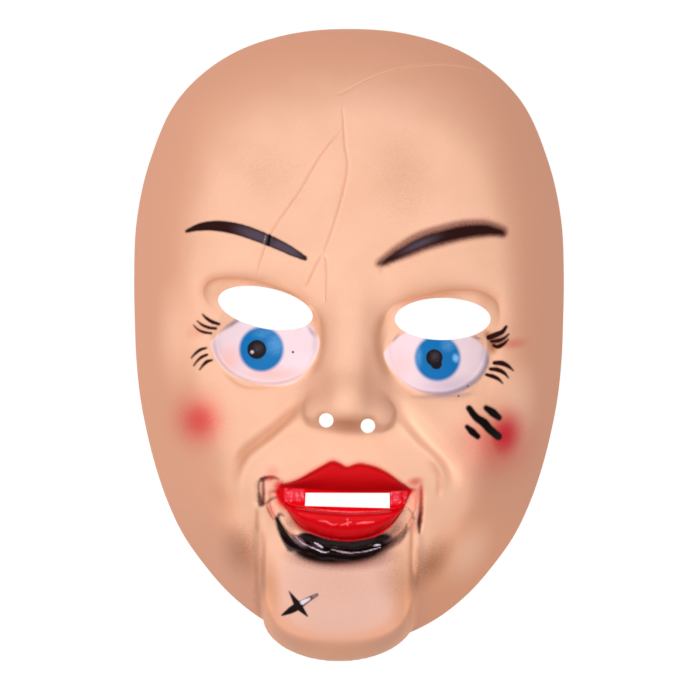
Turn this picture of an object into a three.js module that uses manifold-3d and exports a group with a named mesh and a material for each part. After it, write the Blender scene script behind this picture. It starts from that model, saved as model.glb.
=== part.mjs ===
import * as THREE from 'three';
import Module from 'manifold-3d';
import { mergeVertices } from 'three/addons/utils/BufferGeometryUtils.js';

const wasm = await Module();
wasm.setup();

// All sizes are millimetres. The mask lies on its rim: X runs to the viewer's right, Y up the face
// towards the forehead and Z out of the face. Z = 0 is the plane of the rim.
const WALL = 1.5;

// Plan of the head: rim radii from the head's centre, one every ten degrees from straight down to straight up.
const HEAD_CENTRE_Y = -20;
const HEAD_RADII = [
  100, 99, 96.5, 93, 89.3, 86.6, 84, 82.4, 82.2, 83.6, 86.4, 91.2, 99.2, 110.6, 123.4, 136.6, 143.8, 146.2, 146.4,
];
const HEAD_HEIGHT = 68;

// The jaw block ends in an oval chin that stands out of the head's plan.
const CHIN_CENTRE = [-4, -108.4];
const CHIN_SIZE = [30.4, 18];
const JAW_HEIGHT = 62.5;
const JAW_TOP_Y = -74;

// Through holes: two to see through, two nostrils and a slot between the lips.
const EYE_HOLES = [
  { centre: [-32.9, 14.5], size: [19, 8], tilt: -12 },
  { centre: [36.9, 10.2], size: [18.9, 8.3], tilt: 0 },
];
const NOSTRILS = [[-8.9, -29.5], [7.4, -31.7]];
const NOSTRIL_RADIUS = 2.85;
const MOUTH_SLOT = [[-17.3, -63.2], [16, -64.1], [16, -58.1], [-17, -58]];

// Each eye has a lid fold, a sunk socket and a ball; the two differ, as the face is lopsided.
const EYES = [
  {
    fold: [
      [-51, 12.8], [-55.2, 16.3], [-57.1, 19.8], [-56.7, 22.9], [-54.2, 25.3], [-49.2, 26.4], [-42.2, 26],
      [-35.2, 24.9], [-27.7, 22.3], [-20.1, 18.9], [-15.2, 15.3], [-11.9, 10.3], [-11, 1.8], [-13, -6],
    ],
    socket: { centre: [-33.5, 4], size: [29, 25] },
    ball: { centre: [-32.7, 0], half: 20.8, below: 15.7, above: 26, lean: -6 },
  },
  {
    fold: [
      [11.8, 2], [13.4, 8.5], [16.5, 14.4], [21.5, 17.2], [28.8, 19.6], [36, 21], [43.3, 21.6], [50.5, 21.2],
      [55.6, 19.2], [58.5, 16.3], [59.2, 11], [58, 5],
    ],
    socket: { centre: [36.5, 1], size: [29, 24] },
    ball: { centre: [34.9, -1.2], half: 20.4, below: 18.2, above: 23, lean: 4 },
  },
];
const SOCKET_DEPTH = 4.6;
const BALL_HEIGHT = 6.8;
const FOLD_DEPTH = 2.2;

// The nose: a bridge that widens and rises to the tip, and a wing over each nostril.
const BRIDGE = [[0.8, 34], [0.4, 12], [-0.2, -6], [-0.6, -22]];
const BRIDGE_HEIGHT = 14.5;
const NOSE_TIP = { centre: [-0.7, -21.5], size: [12.5, 12.5], height: 17 };
const NOSE_WINGS = [
  { centre: [-10.6, -25.6], size: [8.4, 7.6], tilt: 28 },
  { centre: [10.4, -27], size: [8.4, 7.6], tilt: -24 },
];
const WING_HEIGHT = 10;

// The mouth's lines, in its own frame: across from its middle, and up from it.
const MOUTH_CENTRE = [-1.2, -56.1];
const MOUTH_TILT = -1.7;
const UPPER_LIP_TOP = [
  [-26.5, 0.2], [-21.5, 1.6], [-17, 3.4], [-11, 7], [-5.9, 10.2], [-2.8, 9.6], [0.2, 8.4], [4.8, 9.8], [10, 9],
  [15.3, 6.9], [21.5, 2.7], [26.5, -0.4],
];
const LOWER_LIP_BOTTOM = [
  [-26, -3], [-22.4, -9.8], [-17.9, -15.5], [-11, -18.8], [-4, -20.5], [4, -20.5], [12, -18.3], [18.3, -13.7],
  [22.4, -7.6], [25.5, -0.6],
];
const JAW_LIP = [
  [-31.8, 2.4], [-31, -5.5], [-27.8, -12.5], [-22, -18.8], [-13.3, -23.6], [0.4, -25.9], [12.5, -23.8],
  [20.4, -19.4], [25.5, -12.5], [28.2, -5.5], [29.4, 1.2],
];

// Soft swellings of the plain head: brows, cheeks and the muzzle round the mouth.
const SWELLINGS = [
  { centre: [-30, 34], size: [27, 9], tilt: -6, power: 2, height: 2.2 },
  { centre: [34, 30], size: [27, 9], tilt: 8, power: 2, height: 2.2 },
  { centre: [-47, -31], size: [19, 17], tilt: 0, power: 2, height: 3.5 },
  { centre: [48, -33], size: [19, 17], tilt: 0, power: 2, height: 3.5 },
  { centre: [-1, -52], size: [33, 24], tilt: 0, power: 3, height: 4.5 },
];

// A hollow runs down each side from the temple to the jaw block.
const HOLLOWS = [
  [[-78, -6], [-68, -34], [-54, -54], [-41, -70], [-36, -88]],
  [[80, -2], [71, -32], [60, -54], [45, -73], [33, -90]],
];
const HOLLOW_DEPTH = 3;

// Grooves (negative height) and ridges: the creases from nose to mouth, then the edges of the jaw block.
const CREASES = [
  { line: [[-16, -18], [-20.5, -25], [-30, -34], [-36, -38.8], [-41, -43], [-43.5, -49], [-44, -56]],
    height: -2.3, width: 2.6 },
  { line: [[-16, -25], [-28, -36], [-37, -43], [-41, -48.5], [-42.5, -56], [-42.5, -64]], height: 1.5, width: 2.4 },
  { line: [[-20, -22], [-34, -32], [-46, -42], [-49, -56]], height: 1, width: 4.5 },
  { line: [[17, -19], [22, -27], [31, -37.5], [38, -45], [41, -51], [41, -60]], height: -2.2, width: 2.8 },
  { line: [[16, -27], [25.5, -38], [32.5, -44], [36.5, -50.5], [37, -60]], height: 1.5, width: 2.4 },
  { line: [[21, -22], [34, -32], [45, -44], [47, -60]], height: 1, width: 4.5 },
  { line: [[33, -47], [35.6, -53], [35.2, -61]], height: -1, width: 1.2 },
  { line: [[-36, -53], [-35.8, -64]], height: -1.8, width: 1.2 },
  { line: [[28.8, -56], [28.2, -66], [27.2, -76]], height: -1.6, width: 1 },
  { line: [[-36.6, -66], [-37.8, -76], [-38.2, -88], [-37.4, -102]], height: -1.4, width: 1.6 },
  { line: [[-34.2, -64], [-34.9, -74], [-35.2, -86], [-34.6, -98]], height: 1.4, width: 1.5 },
  { line: [[25.4, -70], [27, -76], [27.4, -84], [26.6, -94]], height: 1.3, width: 1.6 },
  { line: [[23.6, -76], [24.2, -90], [23.8, -106]], height: -0.8, width: 1.1 },
];

// Fineness of the facets: how far a facet may stand off the true form, and how many points each face may use.
const RIM_POINTS = 150;
const OUTER_GRID = 9;
const OUTER_TOLERANCE = 0.12;
const OUTER_POINTS = 3150;
const INNER_GRID = 13;
const INNER_TOLERANCE = 0.3;
const INNER_POINTS = 1150;
const LATTICE = 0.75;

const clamp = (value, low, high) => Math.min(Math.max(value, low), high);

// Eases from 0 at one end to 1 at the other.
function smooth(low, high, value) {
  const s = clamp((value - low) / (high - low), 0, 1);
  return s * s * (3 - 2 * s);
}

// A bell of height 1 across a line, given the distance from it.
const bell = (distance, width) => Math.exp(-((distance / width) ** 2));

// The higher of two forms, with the corner between them filled over a width.
function blendMax(a, b, width) {
  const h = clamp(0.5 + (0.5 * (a - b)) / width, 0, 1);
  return b + (a - b) * h + width * h * (1 - h);
}

const blendMin = (a, b, width) => -blendMax(-a, -b, width);

// One point of the smooth curve that passes through b and c, between its neighbours a and d.
function between(a, b, c, d, t) {
  return 0.5 * (2 * b + (c - a) * t + (2 * a - 5 * b + 4 * c - d) * t * t + (3 * b - a - 3 * c + d) * t ** 3);
}

// A smooth curve through points, as a polyline with the length walked at each of its points and the box
// it reaches over.
function curve(points, steps = 5, reach = 16) {
  const last = points.length - 1;
  const first = [2 * points[0][0] - points[1][0], 2 * points[0][1] - points[1][1]];
  const beyond = [2 * points[last][0] - points[last - 1][0], 2 * points[last][1] - points[last - 1][1]];
  const path = [first, ...points, beyond];
  const line = [];
  for (let i = 1; i <= last; i += 1) {
    const [a, b, c, d] = path.slice(i - 1, i + 3);
    for (let k = 0; k < steps; k += 1) {
      line.push([between(a[0], b[0], c[0], d[0], k / steps), between(a[1], b[1], c[1], d[1], k / steps)]);
    }
  }
  line.push(points[last]);
  const walked = [0];
  for (let i = 1; i < line.length; i += 1) {
    walked.push(walked[i - 1] + Math.hypot(line[i][0] - line[i - 1][0], line[i][1] - line[i - 1][1]));
  }
  const xs = line.map((point) => point[0]);
  const ys = line.map((point) => point[1]);
  const box = [Math.min(...xs) - reach, Math.min(...ys) - reach, Math.max(...xs) + reach, Math.max(...ys) + reach];
  return { line, walked, box };
}

// Distance of a point from a curve, its share of the way along, and its side: + to the left of travel.
// Beyond a reach that no groove or ridge has, the distance is endless.
function along(x, y, { line, walked, box }) {
  const best = { distance: Infinity, share: 0, side: 1 };
  if (x < box[0] || y < box[1] || x > box[2] || y > box[3]) {
    return best;
  }
  for (let i = 1; i < line.length; i += 1) {
    const ax = line[i - 1][0];
    const ay = line[i - 1][1];
    const sx = line[i][0] - ax;
    const sy = line[i][1] - ay;
    const t = clamp(((x - ax) * sx + (y - ay) * sy) / (sx * sx + sy * sy), 0, 1);
    const distance = Math.hypot(x - ax - t * sx, y - ay - t * sy);
    if (distance < best.distance) {
      best.distance = distance;
      best.share = (walked[i - 1] + t * (walked[i] - walked[i - 1])) / walked[walked.length - 1];
      best.side = Math.sign(sx * (y - ay) - sy * (x - ax));
    }
  }
  return best;
}

// Coordinates in an oval's own frame, in which its edge is the unit circle.
function inOval(x, y, { centre, size, tilt = 0 }) {
  const angle = THREE.MathUtils.degToRad(tilt);
  const [dx, dy] = [x - centre[0], y - centre[1]];
  const u = (dx * Math.cos(angle) + dy * Math.sin(angle)) / size[0];
  const v = (-dx * Math.sin(angle) + dy * Math.cos(angle)) / size[1];
  return [u, v];
}

// A bell of height 1 over an oval.
function swell(x, y, oval, power) {
  const [u, v] = inOval(x, y, oval);
  return Math.exp(-((u * u + v * v) ** (power / 2)));
}

// Rough distance inside an oval's edge, from coordinates in its own frame and its two radii.
function insideOval(u, v, a, b) {
  const r = Math.hypot(u, v) + 1e-9;
  return ((1 - r) * (a * u * u + b * v * v + 1e-9)) / (r * r);
}

// Rim radius of the plain head for the sine of an angle.
function headRadius(sine) {
  const place = clamp((THREE.MathUtils.radToDeg(Math.asin(clamp(sine, -1, 1))) + 90) / 10, 0, 18 - 1e-9);
  const i = Math.floor(place);
  const at = (k) => HEAD_RADII[k < 0 ? 1 : k > 18 ? 17 : k];
  return between(at(i - 1), at(i), at(i + 1), at(i + 2), place - i);
}

// Distance from the head's centre to the far side of the chin, or 0 where the ray misses it.
function chinRadius(angle) {
  const [dx, dy] = [Math.cos(angle) / CHIN_SIZE[0], Math.sin(angle) / CHIN_SIZE[1]];
  const [ox, oy] = [-CHIN_CENTRE[0] / CHIN_SIZE[0], (HEAD_CENTRE_Y - CHIN_CENTRE[1]) / CHIN_SIZE[1]];
  const a = dx * dx + dy * dy;
  const b = dx * ox + dy * oy;
  const c = ox * ox + oy * oy - 1;
  const square = b * b - a * c;
  return square > 0 && b < 0 ? (-b + Math.sqrt(square)) / a : 0;
}

const rimRadius = (angle) => Math.max(headRadius(Math.sin(angle)), chinRadius(angle));

// The plain head: a shallow front that rolls over into a drafted wall.
function headForm(x, y) {
  const reach = Math.hypot(x, y - HEAD_CENTRE_Y);
  const sine = (y - HEAD_CENTRE_Y) / Math.max(reach, 1e-6);
  const rim = headRadius(sine);
  const drop = 33 + 9 * sine - 4 * sine * sine;
  const front = HEAD_HEIGHT - drop * (reach / rim) ** 2.4;
  const slope = 2.6 - 0.5 * smooth(0.3, 1, sine) + 0.6 * smooth(-0.4, -0.85, sine);
  return blendMin(front, (rim - reach) * slope, 18 + 12 * smooth(0.2, 1, sine));
}

// The jaw block: a crowned front that rolls over its edge, tightly at the sides and widely at the foot.
function jawForm(x, y) {
  const across = x - CHIN_CENTRE[0];
  const sag = 5.5 * (across / 30) ** 4 + 0.0024 * (y - JAW_TOP_Y) ** 2 + 0.01 * Math.max(0, -98 - y) ** 2;
  const u = across / CHIN_SIZE[0];
  const v = Math.min((y - CHIN_CENTRE[1]) / CHIN_SIZE[1], 0);
  const r = Math.hypot(u, v) + 1e-6;
  const inside = ((1 - r) * r) / (Math.hypot(u / CHIN_SIZE[0], v / CHIN_SIZE[1]) + 1e-6 / CHIN_SIZE[0]);
  const left = 1 - clamp(inside / (1.8 + 12 * smooth(-99, -122, y)), 0, 1);
  return (JAW_HEIGHT - sag) * Math.sqrt(1 - left ** 3) + 8 * Math.min(inside, 0);
}

// One eye: the sunk socket, the lid's fold, the ball, and the rim and gutter of the lower lid.
function eyeForm(x, y, { foldCurve, socket, ball }) {
  const sunk = -SOCKET_DEPTH * swell(x, y, socket, 3.2);
  const { distance, share, side } = along(x, y, foldCurve);
  const n = distance * side;
  const ends = smooth(0, 0.16, share) * smooth(1, 0.8, share);
  const crease = FOLD_DEPTH * Math.exp(-Math.hypot(n, 0.3) / (1.6 + 0.7 * smooth(-1, 1, n)));
  const fold = (0.6 * bell(n + 4, 2.6) - crease) * ends;
  const [bx, by] = inOval(x, y, { centre: ball.centre, size: [1, 1], tilt: ball.lean });
  const depth = by > 0 ? ball.above : ball.below;
  const [u, v] = [bx / ball.half, by / depth];
  const inside = insideOval(u, v, ball.half, depth);
  const lower = smooth(7, 1, by);
  const rim = (0.9 * bell(inside - 0.6, 0.9) - 0.4 * bell(inside + 2, 2.2)) * lower;
  if (inside < -1) {
    return sunk + fold + rim;
  }
  const round = clamp(1 - 0.97 * (u * u + v * v), 0, 1) ** (0.5 + 0.8 * smooth(-2, 8, by));
  const globe = BALL_HEIGHT * round - 1.1 * smooth(8, -2, by);
  return sunk + fold + rim + globe * smooth(-0.3, 1.3, inside);
}

// The nose: its bridge, tip and wings, cut off below by a short slope.
function noseForm(x, y) {
  const { distance, share } = along(x, y, bridgeCurve);
  const width = 9.5 + 4 * smooth(0.2, 1, share);
  const bridge = BRIDGE_HEIGHT * smooth(-0.15, 1.1, share) * Math.exp(-((distance / width) ** 2.4));
  const tip = NOSE_TIP.height * swell(x, y, NOSE_TIP, 2.5);
  const wings = NOSE_WINGS.map((wing) => {
    const [u, v] = inOval(x, y, wing);
    return WING_HEIGHT * clamp(1 - u * u - v * v, 0, 1) ** 0.6;
  });
  const joined = Math.cbrt([bridge, tip, ...wings].reduce((sum, height) => sum + height ** 3, 0));
  return joined * smooth(-37, -29, y + 0.1 * x);
}

const mouthFrame = (x, y) => inOval(x, y, { centre: MOUTH_CENTRE, size: [1, 1], tilt: MOUTH_TILT });

// A point of the mouth's frame in the plan of the mask.
function fromMouth([u, v]) {
  const angle = THREE.MathUtils.degToRad(MOUTH_TILT);
  return [
    MOUTH_CENTRE[0] + u * Math.cos(angle) - v * Math.sin(angle),
    MOUTH_CENTRE[1] + u * Math.sin(angle) + v * Math.cos(angle),
  ];
}

// Height of a mouth line at a place across it.
function lineAt(u, { line }) {
  const last = line.length - 1;
  if (u <= line[0][0]) {
    return line[0][1];
  }
  if (u >= line[last][0]) {
    return line[last][1];
  }
  const i = line.findIndex((point) => point[0] > u);
  const share = (u - line[i - 1][0]) / (line[i][0] - line[i - 1][0]);
  return line[i - 1][1] + share * (line[i][1] - line[i - 1][1]);
}

const seamAt = (u) => -1.2 + 1.2 * (u / 26) ** 2;
const ledgeAt = (u) => -9.9 + 2.2 * (u / 22) ** 2;

// Section of a lip: it rolls up from one edge to a crest at a share of its width, then falls away again.
function lipSection(share, start, crest, top, fall) {
  if (share < crest) {
    return start + (top - start) * Math.sqrt(clamp(1 - (1 - share / crest) ** 2, 0, 1));
  }
  return top - fall * ((share - crest) / (1 - crest)) ** 2;
}

// The lips, and the recess between them that holds the slot.
function mouthForm(u, v) {
  const [top, seam] = [lineAt(u, upperLipCurve), seamAt(u)];
  const [ledge, bottom] = [ledgeAt(u), lineAt(u, lowerLipCurve)];
  const down = (top - v) / Math.max(top - seam, 0.8);
  const upper = down > 0 ? lipSection(down, 0, 0.22, 2.4, 3.6) * smooth(-0.5, 0.5, v - seam) : 0;
  const under = (ledge - v) / Math.max(ledge - bottom, 0.8);
  const lower = under < 1 ? lipSection(under, 1.2, 0.42, 4.6, 6) * smooth(0.4, -0.4, v - ledge) : 0;
  const across = Math.abs(u);
  const recess = smooth(0.5, -0.5, v - seam) * smooth(-0.4, 0.4, v - ledge) * smooth(26.5, 24, across);
  return upper * smooth(27.5, 21, across) + lower * smooth(27, 17, across) - 1.8 * recess;
}

// Height of the mask's front over a place in its plan. It runs on below zero outside the rim.
function frontHeight(x, y) {
  const share = Math.hypot(x, y - HEAD_CENTRE_Y) / rimRadius(Math.atan2(y - HEAD_CENTRE_Y, x));
  let relief = noseForm(x, y);
  for (const swelling of SWELLINGS) {
    relief += swelling.height * swell(x, y, swelling, swelling.power);
  }
  for (const hollow of hollowCurves) {
    relief -= HOLLOW_DEPTH * bell(along(x, y, hollow).distance, 9) * smooth(-8, -60, y) * smooth(-100, -78, y);
  }
  for (const eye of eyes) {
    relief += eyeForm(x, y, eye);
  }
  for (const crease of creases) {
    const place = along(x, y, crease.curve);
    const ends = smooth(0, 0.3, place.share) * smooth(1, 0.7, place.share);
    relief += crease.height * bell(place.distance, crease.width) * ends;
  }
  let height = headForm(x, y) + relief * smooth(1, 0.86, share);
  const [u, v] = mouthFrame(x, y);
  const overLip = v - lineAt(u, jawLipCurve);
  const underMouth = smooth(1.5, 0, v - lineAt(u, lowerLipCurve));
  const channel = smooth(30, 27.5, Math.abs(u + 1)) * smooth(-0.6, 1.2, overLip) * underMouth;
  height += mouthForm(u, v) - 2.6 * channel;
  height += (blendMax(height, jawForm(x, y), 1.2) - height) * smooth(-1.2, 0.8, -overLip);
  const lip = along(x, y, jawLipPlan);
  return height + 1.6 * bell(lip.distance, 1.6) * smooth(0.05, 0.3, lip.share) * smooth(0.95, 0.7, lip.share);
}

// Directions and reaches at which a ball of the wall's thickness is tried against the front.
const BALL_TRIES = [[0, 0, WALL]];
for (const share of [0.6, 0.9, 0.99]) {
  for (let k = 0; k < 16; k += 1) {
    const angle = (k * Math.PI) / 8;
    const reach = share * WALL;
    BALL_TRIES.push([reach * Math.cos(angle), reach * Math.sin(angle), Math.sqrt(WALL ** 2 - reach ** 2)]);
  }
}

// Heights on a square lattice, read back by mixing the four round a place.
function makeLattice(heightAt, spacing) {
  const [left, low, columns, rows] = [-95, -135, Math.ceil(190 / spacing), Math.ceil(270 / spacing)];
  const heights = new Float64Array((columns + 1) * (rows + 1));
  for (let row = 0; row <= rows; row += 1) {
    for (let column = 0; column <= columns; column += 1) {
      heights[row * (columns + 1) + column] = heightAt(left + column * spacing, low + row * spacing);
    }
  }
  return (x, y) => {
    const across = clamp((x - left) / spacing, 0, columns - 1e-6);
    const up = clamp((y - low) / spacing, 0, rows - 1e-6);
    const at = Math.floor(up) * (columns + 1) + Math.floor(across);
    const [s, t] = [across % 1, up % 1];
    const near = heights[at] * (1 - s) + heights[at + 1] * s;
    const far = heights[at + columns + 1] * (1 - s) + heights[at + columns + 2] * s;
    return near * (1 - t) + far * t;
  };
}

// Height of the back: the highest place from which the whole wall fits under the front.
function backHeight(x, y) {
  let lowest = Infinity;
  for (const [dx, dy, drop] of BALL_TRIES) {
    lowest = Math.min(lowest, frontLattice(x + dx, y + dy) - drop);
  }
  return lowest;
}

// A triangle of plan points with the circle through its corners.
function circled(points, a, b, c) {
  const [ax, ay] = points[a];
  const [bx, by] = [points[b][0] - ax, points[b][1] - ay];
  const [cx, cy] = [points[c][0] - ax, points[c][1] - ay];
  const twice = 2 * (bx * cy - by * cx);
  const x = (cy * (bx * bx + by * by) - by * (cx * cx + cy * cy)) / twice;
  const y = (bx * (cx * cx + cy * cy) - cx * (bx * bx + by * by)) / twice;
  const corners = twice > 0 ? [a, b, c] : [a, c, b];
  return { corners, x: ax + x, y: ay + y, square: x * x + y * y };
}

// An empty triangulation: one triangle far outside the plan.
function startPlan() {
  const points = [[-3000, -2000], [3000, -2000], [0, 4000]];
  return { points, heights: [0, 0, 0], triangles: [circled(points, 0, 1, 2)] };
}

// Adds a point to a triangulation and joins it to the hole its circles leave.
function addPoint(plan, [x, y], height) {
  const edges = new Map();
  const kept = [];
  for (const triangle of plan.triangles) {
    if ((x - triangle.x) ** 2 + (y - triangle.y) ** 2 >= triangle.square) {
      kept.push(triangle);
      continue;
    }
    const [a, b, c] = triangle.corners;
    for (const [from, to] of [[a, b], [b, c], [c, a]]) {
      if (!edges.delete(`${to},${from}`)) {
        edges.set(`${from},${to}`, [from, to]);
      }
    }
  }
  const index = plan.points.push([x, y]) - 1;
  plan.heights.push(height);
  for (const [from, to] of edges.values()) {
    kept.push(circled(plan.points, from, to, index));
  }
  plan.triangles = kept;
}

// How far the form stands off a facet, measured square to the form, and the place where it is worst.
function worstPlace(plan, { corners }, heightAt) {
  const [a, b, c] = corners.map((corner) => [...plan.points[corner], plan.heights[corner]]);
  let worst = { error: 0 };
  for (const shares of [[1, 1, 1], [1, 1, 0], [0, 1, 1], [1, 0, 1]]) {
    const total = shares[0] + shares[1] + shares[2];
    const [x, y, z] = [0, 1, 2].map((k) => (shares[0] * a[k] + shares[1] * b[k] + shares[2] * c[k]) / total);
    const height = heightAt(x, y);
    const gap = Math.abs(height - z);
    if (gap > worst.error) {
      const steep = Math.hypot(heightAt(x + 0.2, y) - height, heightAt(x, y + 0.2) - height) / 0.2;
      const error = gap / Math.hypot(1, steep);
      const room = Math.min(...[a, b, c].map((corner) => Math.hypot(corner[0] - x, corner[1] - y)));
      if (error > worst.error && room > 0.7) {
        worst = { error, x, y, height };
      }
    }
  }
  return worst;
}

// Adds points where the form stands furthest off the facets, until it fits or the points are used up.
function refine(plan, heightAt, isInside, tolerance, limit) {
  while (plan.points.length < limit) {
    const found = [];
    for (const triangle of plan.triangles) {
      if (Math.min(...triangle.corners) < 3) {
        continue;
      }
      if (triangle.worst === undefined) {
        triangle.worst = worstPlace(plan, triangle, heightAt);
      }
      if (triangle.worst.error > tolerance && isInside(triangle.worst.x, triangle.worst.y)) {
        found.push(triangle.worst);
      }
    }
    if (found.length === 0) {
      return;
    }
    found.sort((a, b) => b.error - a.error);
    const batch = Math.min(Math.ceil(found.length / 3), limit - plan.points.length);
    const added = [];
    for (const place of found.slice(0, batch)) {
      if (added.every((other) => Math.hypot(other.x - place.x, other.y - place.y) > 0.7)) {
        addPoint(plan, [place.x, place.y], place.height);
        added.push(place);
      }
    }
  }
}

// Whether a place lies inside a closed outline.
function isWithin(x, y, outline) {
  let inside = false;
  outline.forEach(([ax, ay], i) => {
    const [bx, by] = outline[(i + 1) % outline.length];
    if (ay > y !== by > y && x < ax + ((y - ay) * (bx - ax)) / (by - ay)) {
      inside = !inside;
    }
  });
  return inside;
}

// One face of the shell: its edge at zero height, a coarse grid of rows, and points where the form needs them.
function makeFace(edge, heightAt, grid, tolerance, limit) {
  const plan = startPlan();
  edge.forEach((point) => addPoint(plan, point, 0));
  const clear = (x, y, gap) => edge.every((point) => Math.hypot(point[0] - x, point[1] - y) > gap);
  const isInside = (x, y) => isWithin(x, y, edge);
  const crowdsEdge = (x, y) => edge.some(([ax, ay], i) => {
    const [bx, by] = edge[(i + 1) % edge.length];
    return (ax - x) * (bx - x) + (ay - y) * (by - y) < 0;
  });
  for (let row = 0, y = -125; y < 128; row += 1, y += grid * 0.87) {
    for (let x = -88 + (row % 2) * grid * 0.5 + 0.013 * row; x < 90; x += grid) {
      if (isInside(x, y) && clear(x, y, grid * 0.45)) {
        addPoint(plan, [x, y], heightAt(x, y));
      }
    }
  }
  refine(plan, heightAt, (x, y) => isInside(x, y) && !crowdsEdge(x, y), tolerance, limit);
  const faces = plan.triangles.filter(({ corners }) => {
    if (Math.min(...corners) < 3) {
      return false;
    }
    const [x, y] = [0, 1].map((k) => corners.reduce((sum, corner) => sum + plan.points[corner][k], 0) / 3);
    return isInside(x, y);
  });
  return { points: plan.points, heights: plan.heights, faces: faces.map(({ corners }) => corners) };
}

// The rim: points evenly spaced along it and one on each corner beside the chin, and the inner edge, drawn
// in from them by the wall's thickness.
function makeRim() {
  const fine = Array.from({ length: 3600 }, (_, k) => {
    const angle = (k * Math.PI) / 1800;
    const radius = rimRadius(angle);
    return [radius * Math.cos(angle), HEAD_CENTRE_Y + radius * Math.sin(angle), chinRadius(angle) === radius];
  });
  const next = (k, step) => fine[(k + step + fine.length) % fine.length];
  const walked = [0];
  fine.forEach(([x, y], k) => walked.push(walked[k] + Math.hypot(next(k, 1)[0] - x, next(k, 1)[1] - y)));
  const places = [];
  for (let k = 0, at = 0; k < RIM_POINTS; k += 1) {
    while (walked[at + 1] < (k * walked[fine.length]) / RIM_POINTS) {
      at += 1;
    }
    places.push(at);
  }
  fine.forEach((point, corner) => {
    if (point[2] !== next(corner, 1)[2]) {
      const gaps = places.map((place) => Math.abs(place - corner));
      places[gaps.indexOf(Math.min(...gaps))] = corner;
    }
  });
  const outer = places.map((place) => fine[place].slice(0, 2));
  const inner = places.map((place) => {
    const [x, y] = fine[place];
    const [nx, ny] = [next(place, -3)[1] - next(place, 3)[1], next(place, 3)[0] - next(place, -3)[0]];
    const length = Math.hypot(nx, ny);
    let [low, high] = [0.5 * WALL, 5 * WALL];
    for (let i = 0; i < 24; i += 1) {
      const middle = (low + high) / 2;
      if (backHeight(x + (nx / length) * middle, y + (ny / length) * middle) > 0) {
        high = middle;
      } else {
        low = middle;
      }
    }
    return [x + (nx / length) * high, y + (ny / length) * high];
  });
  return { outer, inner };
}

// The closed shell: front face, back face turned over, and the flat strip of the rim between them.
function makeShell() {
  const front = makeFace(rim.outer, frontHeight, OUTER_GRID, OUTER_TOLERANCE, OUTER_POINTS);
  const back = makeFace(rim.inner, backHeight, INNER_GRID, INNER_TOLERANCE, INNER_POINTS);
  const shift = front.points.length;
  const positions = [];
  front.points.forEach(([x, y], i) => positions.push(x, y, front.heights[i]));
  back.points.forEach(([x, y], i) => positions.push(x, y, back.heights[i]));
  const index = front.faces.flat();
  back.faces.forEach(([a, b, c]) => index.push(a + shift, c + shift, b + shift));
  for (let k = 0; k < RIM_POINTS; k += 1) {
    const [a, b] = [3 + k, 3 + ((k + 1) % RIM_POINTS)];
    index.push(a, a + shift, b, b, a + shift, b + shift);
  }
  const geometry = new THREE.BufferGeometry();
  geometry.setAttribute('position', new THREE.Float32BufferAttribute(positions, 3));
  geometry.setIndex(index);
  return geometry;
}

// A closed upright prism over a plan outline, taller than the mask.
function makePrism(outline) {
  const shape = new THREE.Shape(outline.map(([x, y]) => new THREE.Vector2(x, y)));
  const prism = new THREE.ExtrudeGeometry(shape, { depth: 140, bevelEnabled: false });
  prism.translate(0, 0, -20);
  return prism;
}

// Outline of an oval hole.
function ovalOutline({ centre, size, tilt = 0 }, count) {
  const lean = THREE.MathUtils.degToRad(tilt);
  return Array.from({ length: count }, (_, k) => {
    const angle = (2 * Math.PI * k) / count;
    const [u, v] = [size[0] * Math.cos(angle), size[1] * Math.sin(angle)];
    return [
      centre[0] + u * Math.cos(lean) - v * Math.sin(lean),
      centre[1] + u * Math.sin(lean) + v * Math.cos(lean),
    ];
  });
}

// A solid from a closed geometry, with its doubled corners joined.
function toSolid(geometry) {
  const bare = new THREE.BufferGeometry();
  bare.setAttribute('position', geometry.getAttribute('position'));
  bare.setIndex(geometry.getIndex());
  const merged = mergeVertices(bare, 1e-4);
  return new wasm.Manifold(new wasm.Mesh({
    numProp: 3,
    vertProperties: new Float32Array(merged.getAttribute('position').array),
    triVerts: new Uint32Array(merged.getIndex().array),
  }));
}

// A geometry with flat facets from a solid.
function toGeometry(solid) {
  const mesh = solid.getMesh();
  const geometry = new THREE.BufferGeometry();
  geometry.setAttribute('position', new THREE.Float32BufferAttribute(mesh.vertProperties, 3));
  geometry.setIndex(Array.from(mesh.triVerts));
  geometry.computeVertexNormals();
  return geometry;
}

const bridgeCurve = curve(BRIDGE, 6, 40);
const upperLipCurve = curve(UPPER_LIP_TOP, 8);
const lowerLipCurve = curve(LOWER_LIP_BOTTOM, 8);
const jawLipCurve = curve(JAW_LIP, 8);
const jawLipPlan = curve(JAW_LIP.map(fromMouth));
const hollowCurves = HOLLOWS.map((points) => curve(points, 5, 30));
const eyes = EYES.map((eye) => ({ ...eye, foldCurve: curve(eye.fold) }));
const creases = CREASES.map((crease) => ({ ...crease, curve: curve(crease.line) }));
const frontLattice = makeLattice(frontHeight, LATTICE);
const rim = makeRim();

let shell = toSolid(makeShell());
const holes = [
  ...EYE_HOLES.map((hole) => ovalOutline(hole, 40)),
  ...NOSTRILS.map((centre) => ovalOutline({ centre, size: [NOSTRIL_RADIUS, NOSTRIL_RADIUS] }, 24)),
  MOUTH_SLOT,
];
for (const outline of holes) {
  shell = shell.subtract(toSolid(makePrism(outline)));
}

const material = new THREE.MeshStandardMaterial({ color: 0xf3b99c, roughness: 0.55, metalness: 0 });
const mask = new THREE.Mesh(toGeometry(shell), material);
mask.name = 'mask_shell';

const part = new THREE.Group();
part.name = 'doll_face_mask';
part.add(mask);

export default part;
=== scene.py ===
# %% [markdown]
# # Doll face mask
# A costume mask of a doll's face: one sheet of skin-coloured PVC, softened by heat, drawn over a mould,
# trimmed flat and painted. It lies on its rim with the face up, and the camera looks straight down on it.
# The lesson builds it as height over a plan, because a drawn sheet never folds under itself.

import bpy
import numpy as np
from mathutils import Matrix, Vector
from mathutils.geometry import delaunay_2d_cdt


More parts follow.
